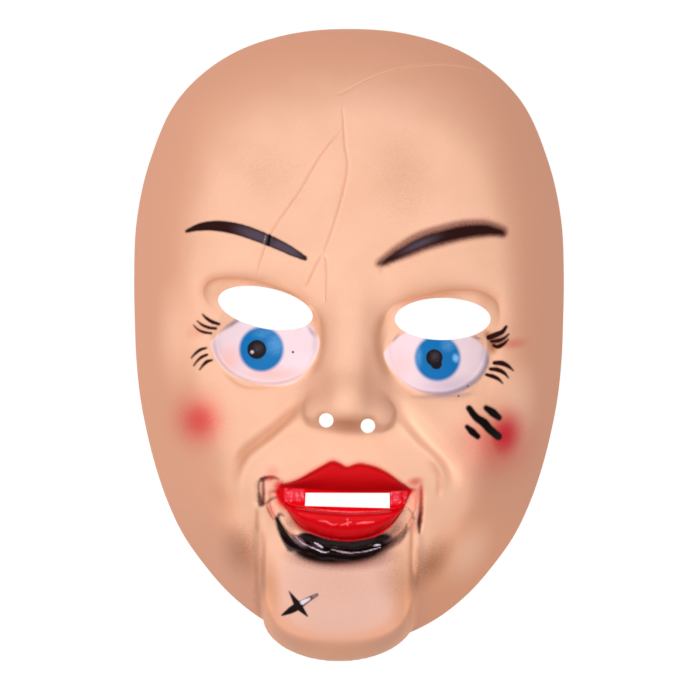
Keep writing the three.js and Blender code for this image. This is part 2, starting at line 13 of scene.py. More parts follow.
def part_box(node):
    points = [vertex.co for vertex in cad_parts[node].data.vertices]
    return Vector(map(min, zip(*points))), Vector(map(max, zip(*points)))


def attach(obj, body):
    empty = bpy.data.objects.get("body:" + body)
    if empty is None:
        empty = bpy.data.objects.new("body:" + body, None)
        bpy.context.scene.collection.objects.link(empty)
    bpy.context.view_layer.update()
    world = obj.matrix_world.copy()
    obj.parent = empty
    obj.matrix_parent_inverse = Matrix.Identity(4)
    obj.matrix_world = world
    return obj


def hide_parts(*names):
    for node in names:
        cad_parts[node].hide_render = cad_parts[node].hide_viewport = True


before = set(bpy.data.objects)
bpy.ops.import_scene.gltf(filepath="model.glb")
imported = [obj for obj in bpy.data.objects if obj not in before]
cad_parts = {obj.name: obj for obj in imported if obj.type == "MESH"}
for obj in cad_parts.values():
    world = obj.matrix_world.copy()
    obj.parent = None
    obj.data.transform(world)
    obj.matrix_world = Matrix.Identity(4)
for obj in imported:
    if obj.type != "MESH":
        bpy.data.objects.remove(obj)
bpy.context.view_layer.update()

# %% [markdown]
# ## Lengths
# Every size below is in millimetres, as a mask maker would give it, and becomes metres at the end.
# X runs to the viewer's right, Y up the face, Z out of it, and Z = 0 is the plane the rim lies on.

# %% Small helpers for forms
MM = 0.001
WALL = 1.5


def smooth(low, high, value):
    """Eases from 0 at low to 1 at high."""
    s = np.clip((value - low) / (high - low), 0.0, 1.0)
    return s * s * (3 - 2 * s)


def bell(distance, width):
    """A ridge of height 1 across a line."""
    return np.exp(-((distance / width) ** 2))


def blend_max(a, b, width):
    """The higher of two forms, with the corner between them filled over a width."""
    h = np.clip(0.5 + 0.5 * (a - b) / width, 0, 1)
    return b + (a - b) * h + width * h * (1 - h)


def blend_min(a, b, width):
    """The lower of two forms, joined in the same way."""
    return -blend_max(-a, -b, width)


# %% [markdown]
# ## Lines on the plan
# Folds, lips and brush strokes all follow lines. A line is a short list of points, and a smooth curve
# is passed through them, so a fold needs five or six numbers and still runs without a kink.


# %% Smooth curves and how far a place is from one
def curve(points, steps=5):
    """A smooth curve through points."""
    p = np.array(points, float)
    p = np.vstack([2 * p[0] - p[1], p, 2 * p[-1] - p[-2]])
    t = np.linspace(0, 1, steps, endpoint=False)[:, None]
    parts = []
    for a, b, c, d in zip(p[:-3], p[1:-2], p[2:-1], p[3:]):
        square = 2 * a - 5 * b + 4 * c - d
        cube = 3 * b - a - 3 * c + d
        parts.append(0.5 * (2 * b + (c - a) * t + square * t**2 + cube * t**3))
    return np.vstack(parts + [p[-2][None, :]])


def along(x, y, points, steps=5, reach=16.0):
    """Distance from a curve, share of the way along it, and side: + to the left of travel."""
    line = curve(points, steps)
    best, share, side = np.full(x.shape, 1e3), np.zeros(x.shape), np.ones(x.shape)
    low, high = line.min(0) - reach, line.max(0) + reach
    near = (x > low[0]) & (x < high[0]) & (y > low[1]) & (y < high[1])
    xs, ys, near_best, near_share, near_side = x[near], y[near], best[near], share[near], side[near]
    step = np.diff(line, axis=0)
    length = np.hypot(step[:, 0], step[:, 1])
    walked = np.concatenate([[0], np.cumsum(length)])
    for i, (sx, sy) in enumerate(step):
        dx, dy = xs - line[i, 0], ys - line[i, 1]
        t = np.clip((dx * sx + dy * sy) / (length[i] ** 2 + 1e-12), 0, 1)
        distance = np.hypot(dx - t * sx, dy - t * sy)
        closer = distance < near_best
        near_best = np.where(closer, distance, near_best)
        near_share = np.where(closer, (walked[i] + t * length[i]) / walked[-1], near_share)
        near_side = np.where(closer, np.sign(sx * dy - sy * dx), near_side)
    best[near], share[near], side[near] = near_best, near_share, near_side
    return best, share, side


def inside_loop(x, y, points, steps=6, reach=12.0):
    """Signed distance to a closed curve, + inside it."""
    ring = np.array(list(points[-2:]) + list(points) + list(points[:2]), float)
    line = curve(ring, steps)[2 * steps:-2 * steps]
    best, inside = np.full(x.shape, 1e3), np.zeros(x.shape, bool)
    low, high = line.min(0) - reach, line.max(0) + reach
    near = (x > low[0]) & (x < high[0]) & (y > low[1]) & (y < high[1])
    xs, ys, near_best, near_inside = x[near], y[near], best[near], inside[near]
    for (ax, ay), (bx, by) in zip(line, np.roll(line, -1, axis=0)):
        sx, sy, dx, dy = bx - ax, by - ay, xs - ax, ys - ay
        t = np.clip((dx * sx + dy * sy) / (sx * sx + sy * sy + 1e-12), 0, 1)
        near_best = np.minimum(near_best, np.hypot(dx - t * sx, dy - t * sy))
        if ay != by:
            near_inside ^= ((ay > ys) != (by > ys)) & (xs < ax + (ys - ay) * sx / sy)
    best[near], inside[near] = near_best, near_inside
    return np.where(inside, best, -best)


def in_oval(x, y, centre, size, tilt=0.0):
    """Coordinates in an oval's own frame, in which its edge is the unit circle."""
    angle = np.radians(tilt)
    dx, dy = x - centre[0], y - centre[1]
    u = (dx * np.cos(angle) + dy * np.sin(angle)) / size[0]
    v = (-dx * np.sin(angle) + dy * np.cos(angle)) / size[1]
    return u, v


def swell(x, y, centre, size, tilt=0.0, power=2.0):
    """A bell of height 1 over an oval."""
    u, v = in_oval(x, y, centre, size, tilt)
    return np.exp(-((u * u + v * v) ** (power / 2)))


# %% [markdown]
# ## The plain head
# Under the features the mask is a shallow egg that rolls over into a drafted wall, so that the sheet
# lifts off its mould. The rim's plan is a radius every ten degrees, and the chin's oval stands out of it.

# %% Head and jaw block
HEAD_CENTRE_Y = -20.0
HEAD_HEIGHT = 68.0
HEAD_RADII = np.array([
    100, 99, 96.5, 93, 89.3, 86.6, 84, 82.4, 82.2, 83.6,
    86.4, 91.2, 99.2, 110.6, 123.4, 136.6, 143.8, 146.2, 146.4,
])
CHIN_CENTRE = (-4, -108.4)
CHIN_SIZE = (30.4, 18)
JAW_HEIGHT = 62.5
JAW_TOP_Y = -74.0


def head_radius(sine):
    """Rim radius of the plain head for the sine of an angle."""
    place = np.clip((np.degrees(np.arcsin(np.clip(sine, -1, 1))) + 90) / 10, 0, 18 - 1e-9)
    i = place.astype(int)
    t = place - i
    around = np.concatenate([[HEAD_RADII[1]], HEAD_RADII, [HEAD_RADII[-2]]])
    a, b, c, d = around[i], around[i + 1], around[i + 2], around[i + 3]
    return 0.5 * (2 * b + (c - a) * t + (2 * a - 5 * b + 4 * c - d) * t**2 + (3 * b - a - 3 * c + d) * t**3)


def chin_radius(angle):
    """Distance from the head's centre to the far side of the chin, or 0 where the ray misses it."""
    dx, dy = np.cos(angle) / CHIN_SIZE[0], np.sin(angle) / CHIN_SIZE[1]
    ox, oy = -CHIN_CENTRE[0] / CHIN_SIZE[0], (HEAD_CENTRE_Y - CHIN_CENTRE[1]) / CHIN_SIZE[1]
    a, b, c = dx * dx + dy * dy, dx * ox + dy * oy, ox * ox + oy * oy - 1
    square = b * b - a * c
    return np.where((square > 0) & (b < 0), (-b + np.sqrt(np.maximum(square, 0))) / a, 0.0)


def rim_radius(angle):
    """Distance from the head's centre to the rim."""
    return np.maximum(head_radius(np.sin(angle)), chin_radius(angle))


def head_form(x, y):
    """The plain head: a shallow front that rolls over into a drafted wall."""
    reach = np.hypot(x, y - HEAD_CENTRE_Y)
    sine = (y - HEAD_CENTRE_Y) / np.maximum(reach, 1e-6)
    rim = head_radius(sine)
    front = HEAD_HEIGHT - (33 + 9 * sine - 4 * sine**2) * (reach / rim) ** 2.4
    slope = 2.6 - 0.5 * smooth(0.3, 1.0, sine) + 0.6 * smooth(-0.4, -0.85, sine)
    return blend_min(front, (rim - reach) * slope, 18.0 + 12.0 * smooth(0.2, 1.0, sine))


def jaw_form(x, y):
    """The jaw block: a crowned front that rolls over its edge, tight at the sides and wide at the foot."""
    across = x - CHIN_CENTRE[0]
    sag = 5.5 * (across / 30) ** 4 + 0.0024 * (y - JAW_TOP_Y) ** 2 + 0.01 * np.maximum(0, -98 - y) ** 2
    u, v = across / CHIN_SIZE[0], np.minimum((y - CHIN_CENTRE[1]) / CHIN_SIZE[1], 0)
    r = np.hypot(u, v) + 1e-6
    inside = (1 - r) * r / (np.hypot(u / CHIN_SIZE[0], v / CHIN_SIZE[1]) + 1e-6 / CHIN_SIZE[0])
    left = 1 - np.clip(inside / (1.8 + 12.0 * smooth(-99.0, -122.0, y)), 0, 1)
    return (JAW_HEIGHT - sag) * np.sqrt(1 - left**3) + 8 * np.minimum(inside, 0)


print("rim radius at crown and chin, mm:", head_radius(np.array([1.0, -1.0])), chin_radius(-np.pi / 2))

# %% [markdown]
# ## Eyes
# The doll's eyes bulge out of sunk sockets under a folded lid. The wearer looks through the holes that
# cut each ball's upper half away, which is why the painted eyes sit low on the face.

# %% Sockets, lids and balls
EYE_HOLES = [
    dict(centre=(-32.9, 14.5), size=(19, 8), tilt=-12.0),
    dict(centre=(36.9, 10.2), size=(18.9, 8.3), tilt=0.0),
]
EYES = [
    dict(
        fold=[(-51, 12.8), (-55.2, 16.3), (-57.1, 19.8), (-56.7, 22.9), (-54.2, 25.3), (-49.2, 26.4),
              (-42.2, 26), (-35.2, 24.9), (-27.7, 22.3), (-20.1, 18.9), (-15.2, 15.3), (-11.9, 10.3),
              (-11, 1.8), (-13, -6)],
        socket=((-33.5, 4), (29, 25)), ball=(-32.7, 0), half=20.8, below=15.7, above=26.0, lean=-6.0),
    dict(
        fold=[(11.8, 2), (13.4, 8.5), (16.5, 14.4), (21.5, 17.2), (28.8, 19.6), (36, 21), (43.3, 21.6),
              (50.5, 21.2), (55.6, 19.2), (58.5, 16.3), (59.2, 11), (58, 5)],
        socket=((36.5, 1), (29, 24)), ball=(34.9, -1.2), half=20.4, below=18.2, above=23.0, lean=4.0),
]
SOCKET_DEPTH = 4.6
BALL_HEIGHT = 6.8
FOLD_DEPTH = 2.2


def eye_form(x, y, fold, socket, ball, half, below, above, lean):
    """One eye: the sunk socket, the lid's fold, the ball, and the rim and gutter of the lower lid."""
    distance, share, side = along(x, y, fold)
    n = distance * side
    ends = smooth(0.0, 0.16, share) * smooth(1.0, 0.8, share)
    crease = FOLD_DEPTH * np.exp(-np.hypot(n, 0.3) / (1.6 + 0.7 * smooth(-1.0, 1.0, n)))
    lid = (0.6 * bell(n + 4.0, 2.6) - crease) * ends
    bx, by = in_oval(x, y, ball, (1, 1), lean)
    depth = np.where(by > 0, above, below)
    u, v = bx / half, by / depth
    r = np.hypot(u, v) + 1e-9
    inside = (1 - r) * (half * u * u + depth * v * v) / (r * r)
    lower = smooth(7.0, 1.0, by)
    rim = (0.9 * bell(inside - 0.6, 0.9) - 0.4 * bell(inside + 2.0, 2.2)) * lower
    globe = BALL_HEIGHT * np.clip(1 - 0.97 * r * r, 0, 1) ** (0.5 + 0.8 * smooth(-2.0, 8.0, by))
    globe = (globe - 1.1 * smooth(8.0, -2.0, by)) * smooth(-0.3, 1.3, inside)
    return lid + rim + globe - SOCKET_DEPTH * swell(x, y, *socket, power=3.2)


# %% [markdown]
# ## Nose
# A bridge that widens to a ball at the tip, with a wing over each nostril. The forms are joined by the
# cube root of the sum of their cubes, which keeps each one's height and fills the creases softly.

# %% Nose
BRIDGE = [(0.8, 34), (0.4, 12), (-0.2, -6), (-0.6, -22)]
NOSE_WINGS = [((-10.6, -25.6), 28.0), ((10.4, -27), -24.0)]
NOSTRILS = [(-8.9, -29.5), (7.4, -31.7)]
NOSTRIL_RADIUS = 2.85


def nose_form(x, y):
    """The bridge, the ball at its end and the two wings, as one form."""
    distance, share, _ = along(x, y, BRIDGE, steps=6, reach=40.0)
    width = 9.5 + 4.0 * smooth(0.2, 1.0, share)
    cubes = (14.5 * smooth(-0.15, 1.1, share) * np.exp(-((distance / width) ** 2.4))) ** 3
    cubes += (17.0 * swell(x, y, (-0.7, -21.5), (12.5, 12.5), power=2.5)) ** 3
    for centre, tilt in NOSE_WINGS:
        u, v = in_oval(x, y, centre, (8.4, 7.6), tilt)
        cubes += (10.0 * np.clip(1 - u * u - v * v, 0, 1) ** 0.6) ** 3
    return np.cbrt(cubes) * smooth(-37.0, -29.0, y + 0.1 * x)


# %% [markdown]
# ## Mouth
# The mouth has a frame of its own: u runs across it and v up from its middle. The upper lip rolls down
# to a seam, the lower lip starts from a ledge, and the recess between them holds the breathing slot.

# %% Mouth lines and lips
MOUTH_CENTRE = (-1.2, -56.1)
MOUTH_TILT = -1.7
RECESS_DEPTH = 1.8
MOUTH_SLOT = [(-17.3, -63.2), (16, -64.1), (16, -58.1), (-17, -58)]
UPPER_LIP_TOP = [(-26.5, 0.2), (-21.5, 1.6), (-17, 3.4), (-11, 7), (-5.9, 10.2), (-2.8, 9.6), (0.2, 8.4),
                 (4.8, 9.8), (10, 9), (15.3, 6.9), (21.5, 2.7), (26.5, -0.4)]
LOWER_LIP_BOTTOM = [(-26, -3), (-22.4, -9.8), (-17.9, -15.5), (-11, -18.8), (-4, -20.5), (4, -20.5),
                    (12, -18.3), (18.3, -13.7), (22.4, -7.6), (25.5, -0.6)]
JAW_LIP = [(-31.8, 2.4), (-31, -5.5), (-27.8, -12.5), (-22, -18.8), (-13.3, -23.6), (0.4, -25.9),
           (12.5, -23.8), (20.4, -19.4), (25.5, -12.5), (28.2, -5.5), (29.4, 1.2)]


def mouth_frame(x, y):
    """Places of the mask's plan in the mouth's own frame."""
    return in_oval(x, y, MOUTH_CENTRE, (1, 1), MOUTH_TILT)


def from_mouth(points):
    """Points of the mouth's frame in the plan of the mask."""
    angle = np.radians(MOUTH_TILT)
    c, s = np.cos(angle), np.sin(angle)
    return [(MOUTH_CENTRE[0] + u * c - v * s, MOUTH_CENTRE[1] + u * s + v * c) for u, v in points]


def line_at(u, points):
    """Height of a mouth line at a place across it."""
    line = curve(points, 8)
    return np.interp(u, line[:, 0], line[:, 1])


def mouth_lines(u):
    """Top of the upper lip, seam, ledge, and bottom of the lower lip."""
    seam = -1.2 + 1.2 * (u / 26) ** 2
    ledge = -9.9 + 2.2 * (u / 22) ** 2
    return line_at(u, UPPER_LIP_TOP), seam, ledge, line_at(u, LOWER_LIP_BOTTOM)


def lip_section(share, start, crest, top, fall):
    """A lip rolls up from one edge to its crest at a share of its width, then falls away to the other."""
    roll = start + (top - start) * np.sqrt(np.clip(1 - (1 - share / crest) ** 2, 0, 1))
    return np.where(share < crest, roll, top - fall * ((share - crest) / (1 - crest)) ** 2)


def mouth_form(u, v):
    """The lips, and the recess between them that holds the slot."""
    top, seam, ledge, bottom = mouth_lines(u)
    across = np.abs(u)
    down = (top - v) / np.maximum(top - seam, 0.8)
    upper = lip_section(down, start=0.0, crest=0.22, top=2.4, fall=3.6)
    upper = upper * (down > 0) * smooth(-0.5, 0.5, v - seam)
    under = (ledge - v) / np.maximum(ledge - bottom, 0.8)
    lower = lip_section(under, start=1.2, crest=0.42, top=4.6, fall=6.0)
    lower = lower * (under < 1) * smooth(0.4, -0.4, v - ledge)
    recess = smooth(0.5, -0.5, v - seam) * smooth(-0.4, 0.4, v - ledge) * smooth(26.5, 24.0, across)
    return upper * smooth(27.5, 21.0, across) + lower * smooth(27.0, 17.0, across) - RECESS_DEPTH * recess


# %% [markdown]
# ## Folds and cracks
# Creases run from the nose to the mouth, and the jaw block has a groove and a pleat down each side.
# Thin cracks run over the forehead, pressed into the sheet like the crazing of an old composition head.

# %% Soft relief
# A swelling has a centre, a size, a tilt, a power that flattens its top, and a rise.
SWELLINGS = [
    ((-30, 34), (27, 9), -6, 2, 2.2),
    ((34, 30), (27, 9), 8, 2, 2.2),
    ((-47, -31), (19, 17), 0, 2, 3.5),
    ((48, -33), (19, 17), 0, 2, 3.5),
    ((-1, -52), (33, 24), 0, 3, 4.5),
]
HOLLOW_DEPTH = 3.0
HOLLOW_WIDTH = 9.0
HOLLOWS = [
    [(-78, -6), (-68, -34), (-54, -54), (-41, -70), (-36, -88)],
    [(80, -2), (71, -32), (60, -54), (45, -73), (33, -90)],
]
# A crease and a crack have a line, a rise that is below zero for a groove, and a width.
CREASES = [
    ([(-16, -18), (-20.5, -25), (-30, -34), (-36, -38.8), (-41, -43), (-43.5, -49), (-44, -56)], -2.3, 2.6),
    ([(-16, -25), (-28, -36), (-37, -43), (-41, -48.5), (-42.5, -56), (-42.5, -64)], 1.5, 2.4),
    ([(-20, -22), (-34, -32), (-46, -42), (-49, -56)], 1.0, 4.5),
    ([(17, -19), (22, -27), (31, -37.5), (38, -45), (41, -51), (41, -60)], -2.2, 2.8),
    ([(16, -27), (25.5, -38), (32.5, -44), (36.5, -50.5), (37, -60)], 1.5, 2.4),
    ([(21, -22), (34, -32), (45, -44), (47, -60)], 1.0, 4.5),
    ([(33, -47), (35.6, -53), (35.2, -61)], -1.0, 1.2),
    ([(-36, -53), (-35.8, -64)], -1.8, 1.2),
    ([(28.8, -56), (28.2, -66), (27.2, -76)], -1.6, 1.0),
    ([(-36.6, -66), (-37.8, -76), (-38.2, -88), (-37.4, -102)], -1.4, 1.6),
    ([(-34.2, -64), (-34.9, -74), (-35.2, -86), (-34.6, -98)], 1.4, 1.5),
    ([(25.4, -70), (27, -76), (27.4, -84), (26.6, -94)], 1.3, 1.6),
    ([(23.6, -76), (24.2, -90), (23.8, -106)], -0.8, 1.1),
]
CRACKS = [
    ([(-3.1, 84.7), (-11.4, 74.1), (-19.2, 60.8), (-28.6, 47.4), (-32.9, 38.8), (-36.5, 27.8)], -0.8, 0.45),
    ([(-2.7, 94.5), (-1.6, 78.8), (-0.5, 71), (-2, 61.5), (-5.9, 47.4), (-10.2, 35.7)], -0.7, 0.45),
    ([(-10.2, 35.7), (-12.9, 31), (-17, 22.3)], -0.7, 0.45),
    ([(-10.2, 35.7), (-9, 31.8), (-9.5, 16.1)], -0.7, 0.45),
    ([(-5.6, 98.1), (1.7, 101.8), (8, 105.2), (14.8, 107.8), (22.7, 110.2), (30.6, 111.4), (38.6, 111.7),
      (46.6, 110.9), (52.5, 109.4)], -0.7, 0.5),
]
JAW_GROOVE_DEPTH = 2.6
JAW_RIDGE_HEIGHT = 1.6
JAW_RIDGE_WIDTH = 1.6


def line_relief(x, y, lines, fade=0.3):
    """Grooves and ridges that fade out at both ends."""
    height = np.zeros_like(x)
    for points, rise, width in lines:
        distance, share, _ = along(x, y, points)
        height += rise * bell(distance, width) * smooth(0.0, fade, share) * smooth(1.0, 1 - fade, share)
    return height


def add_jaw(x, y, height):
    """Lays the lips, the groove under them, the jaw block and its own lip on the face."""
    u, v = mouth_frame(x, y)
    over_lip = v - line_at(u, JAW_LIP)
    under_mouth = smooth(1.5, 0.0, v - line_at(u, LOWER_LIP_BOTTOM))
    groove = JAW_GROOVE_DEPTH * smooth(30.0, 27.5, np.abs(u + 1)) * smooth(-0.6, 1.2, over_lip) * under_mouth
    height += mouth_form(u, v) - groove
    height += (blend_max(height, jaw_form(x, y), 1.2) - height) * smooth(-1.2, 0.8, -over_lip)
    distance, share, side = along(x, y, from_mouth(JAW_LIP))
    wander = 0.3 * np.sin(41 * share) + 0.2 * np.sin(97 * share + 1)
    rise = JAW_RIDGE_HEIGHT + 0.15 * np.sin(63 * share)
    ridge = rise * bell(distance * side - wander, JAW_RIDGE_WIDTH)
    return height + ridge * smooth(0.05, 0.3, share) * smooth(0.95, 0.7, share)


def front_height(x, y):
    """Height of the mask's front over a place in its plan. It runs on below zero outside the rim."""
    share = np.hypot(x, y - HEAD_CENTRE_Y) / rim_radius(np.arctan2(y - HEAD_CENTRE_Y, x))
    relief = nose_form(x, y) + line_relief(x, y, CREASES) + line_relief(x, y, CRACKS, 0.08)
    for centre, size, tilt, power, rise in SWELLINGS:
        relief += rise * swell(x, y, centre, size, tilt, power)
    for hollow in HOLLOWS:
        distance, _, _ = along(x, y, hollow, reach=30.0)
        depth = HOLLOW_DEPTH * bell(distance, HOLLOW_WIDTH)
        relief -= depth * smooth(-8.0, -60.0, y) * smooth(-100.0, -78.0, y)
    for eye in EYES:
        relief += eye_form(x, y, **eye)
    return add_jaw(x, y, head_form(x, y) + relief * smooth(1.0, 0.86, share))


print("nose tip, mm:", round(float(front_height(np.array([-0.7]), np.array([-21.5]))[0]), 1))

# %% [markdown]
# ## The back
# The back of a drawn sheet is the front, one wall's thickness in. A ball of that size is rolled under
# the front on a lattice of heights, and the highest place it leaves free is the back.

# %% Lattice of front and back heights
STEP = 0.5
HALF_WIDTH = 92.0
HALF_HEIGHT = 132.0
LATTICE_X = np.arange(-HALF_WIDTH, HALF_WIDTH + 0.01, STEP)
LATTICE_Y = np.arange(-HALF_HEIGHT, HALF_HEIGHT + 0.01, STEP)
lattice_x, lattice_y = np.meshgrid(LATTICE_X, LATTICE_Y)
front_lattice = front_height(lattice_x, lattice_y)
back_lattice = front_lattice - WALL
for row in range(-3, 4):
    for column in range(-3, 4):
        distance = STEP * np.hypot(row, column)
        if 0 < distance <= WALL:
            moved = np.roll(front_lattice, (row, column), (0, 1))
            back_lattice = np.minimum(back_lattice, moved - np.sqrt(WALL**2 - distance**2))


def read_lattice(lattice, x, y):
    """Mixes the four lattice heights round each place."""
    across = np.clip((x - LATTICE_X[0]) / STEP, 0, len(LATTICE_X) - 1.001)
    up = np.clip((y - LATTICE_Y[0]) / STEP, 0, len(LATTICE_Y) - 1.001)
    i, j = across.astype(int), up.astype(int)
    s, t = across - i, up - j
    near = lattice[j, i] * (1 - s) + lattice[j, i + 1] * s
    far = lattice[j + 1, i] * (1 - s) + lattice[j + 1, i + 1] * s
    return near * (1 - t) + far * t


print("lattice places:", front_lattice.size)

# %% [markdown]
# ## Edges in the plan
# The rim and the holes are closed outlines. Each is drawn once and used by the front and the back, so
# the two faces can be sewn together along them. The rim's inner edge is where the back reaches the floor.


# %% Rim and hole outlines
def rim_outline(count):
    """The rim, evenly spaced along its length, with a point on each corner beside the chin."""
    angle = np.linspace(0, 2 * np.pi, 7200, endpoint=False)
    radius = rim_radius(angle)
    fine = np.c_[radius * np.cos(angle), HEAD_CENTRE_Y + radius * np.sin(angle)]
    walked = np.concatenate([[0], np.cumsum(np.hypot(*(np.roll(fine, -1, axis=0) - fine).T))])
    places = np.searchsorted(walked, np.arange(count) * walked[-1] / count)
    on_chin = chin_radius(angle) == radius
    for corner in np.flatnonzero(on_chin != np.roll(on_chin, -1)):
        places[np.argmin(np.abs(places - corner))] = corner
    normal = np.roll(fine, -6, axis=0) - np.roll(fine, 6, axis=0)
    normal = np.c_[-normal[:, 1], normal[:, 0]] / np.hypot(*normal.T)[:, None]
    outer, inward = fine[places], normal[places]
    low, high = np.full(count, 0.5 * WALL), np.full(count, 5 * WALL)
    for _ in range(24):
        middle = (low + high) / 2
        tried = outer + inward * middle[:, None]
        under = read_lattice(back_lattice, *tried.T) > 0
        high, low = np.where(under, middle, high), np.where(under, low, middle)
    return outer, outer + inward * high[:, None]


def oval_outline(centre, size, tilt, count):
    """A tilted oval as evenly turned points."""
    angle = np.linspace(0, 2 * np.pi, count, endpoint=False)
    lean = np.radians(tilt)
    u, v = size[0] * np.cos(angle), size[1] * np.sin(angle)
    x = centre[0] + u * np.cos(lean) - v * np.sin(lean)
    y = centre[1] + u * np.sin(lean) + v * np.cos(lean)
    return np.c_[x, y]


def straight_outline(corners, spacing):
    """Straight sides between corners, with points along them."""
    points = []
    for start, end in zip(corners, corners[1:] + corners[:1]):
        start, end = np.array(start), np.array(end)
        count = int(np.ceil(np.hypot(*(end - start)) / spacing))
        points += [start + (end - start) * k / count for k in range(count)]
    return np.array(points)


rim_outer, rim_inner = rim_outline(900)
holes = [oval_outline(hole["centre"], hole["size"], hole["tilt"], 150) for hole in EYE_HOLES]
holes += [oval_outline(centre, (NOSTRIL_RADIUS, NOSTRIL_RADIUS), 0.0, 40) for centre in NOSTRILS]
holes.append(straight_outline(MOUTH_SLOT, 0.8))
print("edge points:", len(rim_outer), [len(hole) for hole in holes])

# %% [markdown]
# ## Points where the form bends
# The mesh is fine only where the form turns: a lattice of points 0.55 mm apart, from which every second
# one is dropped where the sheet is nearly flat. Paint edges need fine points too, or they would look torn.
# Seven rows of points run along each crack, from its floor to both of its edges.

# %% Laying out the points
FINE = 0.55
BEND = 0.012
ROW_PITCH = 0.866
BACK_FINE = 1.0
BACK_BEND = 0.03
CRACK_ROWS = (-1.1, -0.6, -0.25, 0.0, 0.25, 0.6, 1.1)
PAINTED = [((-34, 0), (30, 20)), ((36, -3), (32, 24)), ((-2, -66), (42, 24)), ((-40, 42), (28, 10)),
           ((37, 40), (30, 12)), ((53, -31), (12, 10)), ((-19, -101), (11, 10))]


def within(x, y, outline):
    """Whether places lie inside a closed outline."""
    inside = np.zeros(x.shape, bool)
    for (ax, ay), (bx, by) in zip(outline, np.roll(outline, -1, axis=0)):
        if ay != by:
            inside ^= ((ay > y) != (by > y)) & (x < ax + (y - ay) * (bx - ax) / (by - ay))
    return inside


def near_edge(x, y, edges, gap):
    """Whether places lie closer than a gap to any edge point, found with a coarse lattice of buckets."""
    close = np.zeros(x.shape, bool)
    for edge in edges:
        low, high = edge.min(0) - gap, edge.max(0) + gap
        index = np.flatnonzero((x > low[0]) & (x < high[0]) & (y > low[1]) & (y < high[1]))
        for chunk in np.array_split(index, max(1, len(index) // 4000)):
            distance = np.hypot(x[chunk, None] - edge[:, 0], y[chunk, None] - edge[:, 1]).min(1)
            close[chunk] |= distance < gap
    return close


def lay_points(spacing, levels, edge, height_lattice, bend, gap, painted=()):
    """Staggered rows of points: coarse rows everywhere, finer ones where the form bends or is painted."""
    columns = int(2 * HALF_WIDTH / spacing)
    rows = int(2 * HALF_HEIGHT / (spacing * ROW_PITCH))
    i, j = np.meshgrid(np.arange(columns), np.arange(rows))
    x = -HALF_WIDTH + (i + 0.5 * (j % 2)) * spacing
    y = -HALF_HEIGHT + j * spacing * ROW_PITCH
    slope_x = read_lattice(height_lattice, x + 0.5, y) - read_lattice(height_lattice, x - 0.5, y)
    slope_y = read_lattice(height_lattice, x, y + 0.5) - read_lattice(height_lattice, x, y - 0.5)
    steepness = np.sqrt(1 + slope_x**2 + slope_y**2)
    centre_height = read_lattice(height_lattice, x, y)
    keep = np.zeros(x.shape, bool)
    for level in range(levels + 1):
        apart = 2**level
        wanted = (j % apart == 0) & ((i - apart // 2 * (j // apart % 2)) % apart == 0)
        if level < levels:
            reach = spacing * apart
            around = [
                read_lattice(height_lattice, x + reach * np.cos(a), y + reach * np.sin(a))
                for a in np.radians(range(0, 360, 45))
            ]
            needed = np.abs(sum(around) / 8 - centre_height) / steepness > bend
            for centre, size in painted if level == 0 else ():
                needed |= np.hypot((x - centre[0]) / size[0], (y - centre[1]) / size[1]) < 1
            wanted &= needed
        keep |= wanted
    x, y = x[keep], y[keep]
    inside = within(x, y, edge)
    x, y = x[inside], y[inside]
    clear = ~near_edge(x, y, [edge] + holes, gap)
    return np.c_[x[clear], y[clear]]


def rows_along(points, offsets, spacing):
    """Rows of points beside a curve, so that a groove keeps a clean bottom and clean edges."""
    line = curve(points, 24)
    walked = np.concatenate([[0], np.cumsum(np.hypot(*np.diff(line, axis=0).T))])
    at = np.linspace(0, walked[-1], int(walked[-1] / spacing))
    middle = np.c_[np.interp(at, walked, line[:, 0]), np.interp(at, walked, line[:, 1])]
    along_line = np.gradient(middle, axis=0)
    normal = np.c_[-along_line[:, 1], along_line[:, 0]] / np.hypot(*along_line.T)[:, None]
    return np.vstack([middle + normal * offset for offset in offsets])


# %% [markdown]
# ## Sewing the shell
# Each face is a triangle net over its points that keeps the rim and the hole edges whole. Then the back
# is turned over, and strips of small quads close the rim and the walls of the holes.


# %% Nets for the two faces
def make_face(edge, points, height_lattice):
    """Triangles over the points, with the edge and the holes kept as lines. Edge points come first."""
    loops = [edge] + holes
    plan, lines, start = [], [], 0
    for loop in loops:
        plan.append(loop)
        lines += [(start + k, start + (k + 1) % len(loop)) for k in range(len(loop))]
        start += len(loop)
    plan = np.vstack(plan + [points])
    vertices, _, triangles, sources, _, _ = delaunay_2d_cdt([Vector(p) for p in plan], lines, [], 0, 1e-5)
    assert len(vertices) == len(plan), "two points of a face fell together"
    order = np.array([source[0] for source in sources])
    triangles = order[np.array(triangles)]
    middle = plan[triangles].mean(1)
    inside = within(middle[:, 0], middle[:, 1], edge)
    for hole in holes:
        inside &= ~within(middle[:, 0], middle[:, 1], hole)
    triangles = triangles[inside]
    height = read_lattice(height_lattice, plan[:, 0], plan[:, 1])
    height[:len(edge)] = 0
    return plan, height, triangles


front_points = lay_points(FINE, 2, rim_outer, front_lattice, BEND, gap=0.4, painted=PAINTED)
crack_rows = np.vstack([rows_along(points, CRACK_ROWS, 0.6) for points, _, _ in CRACKS])
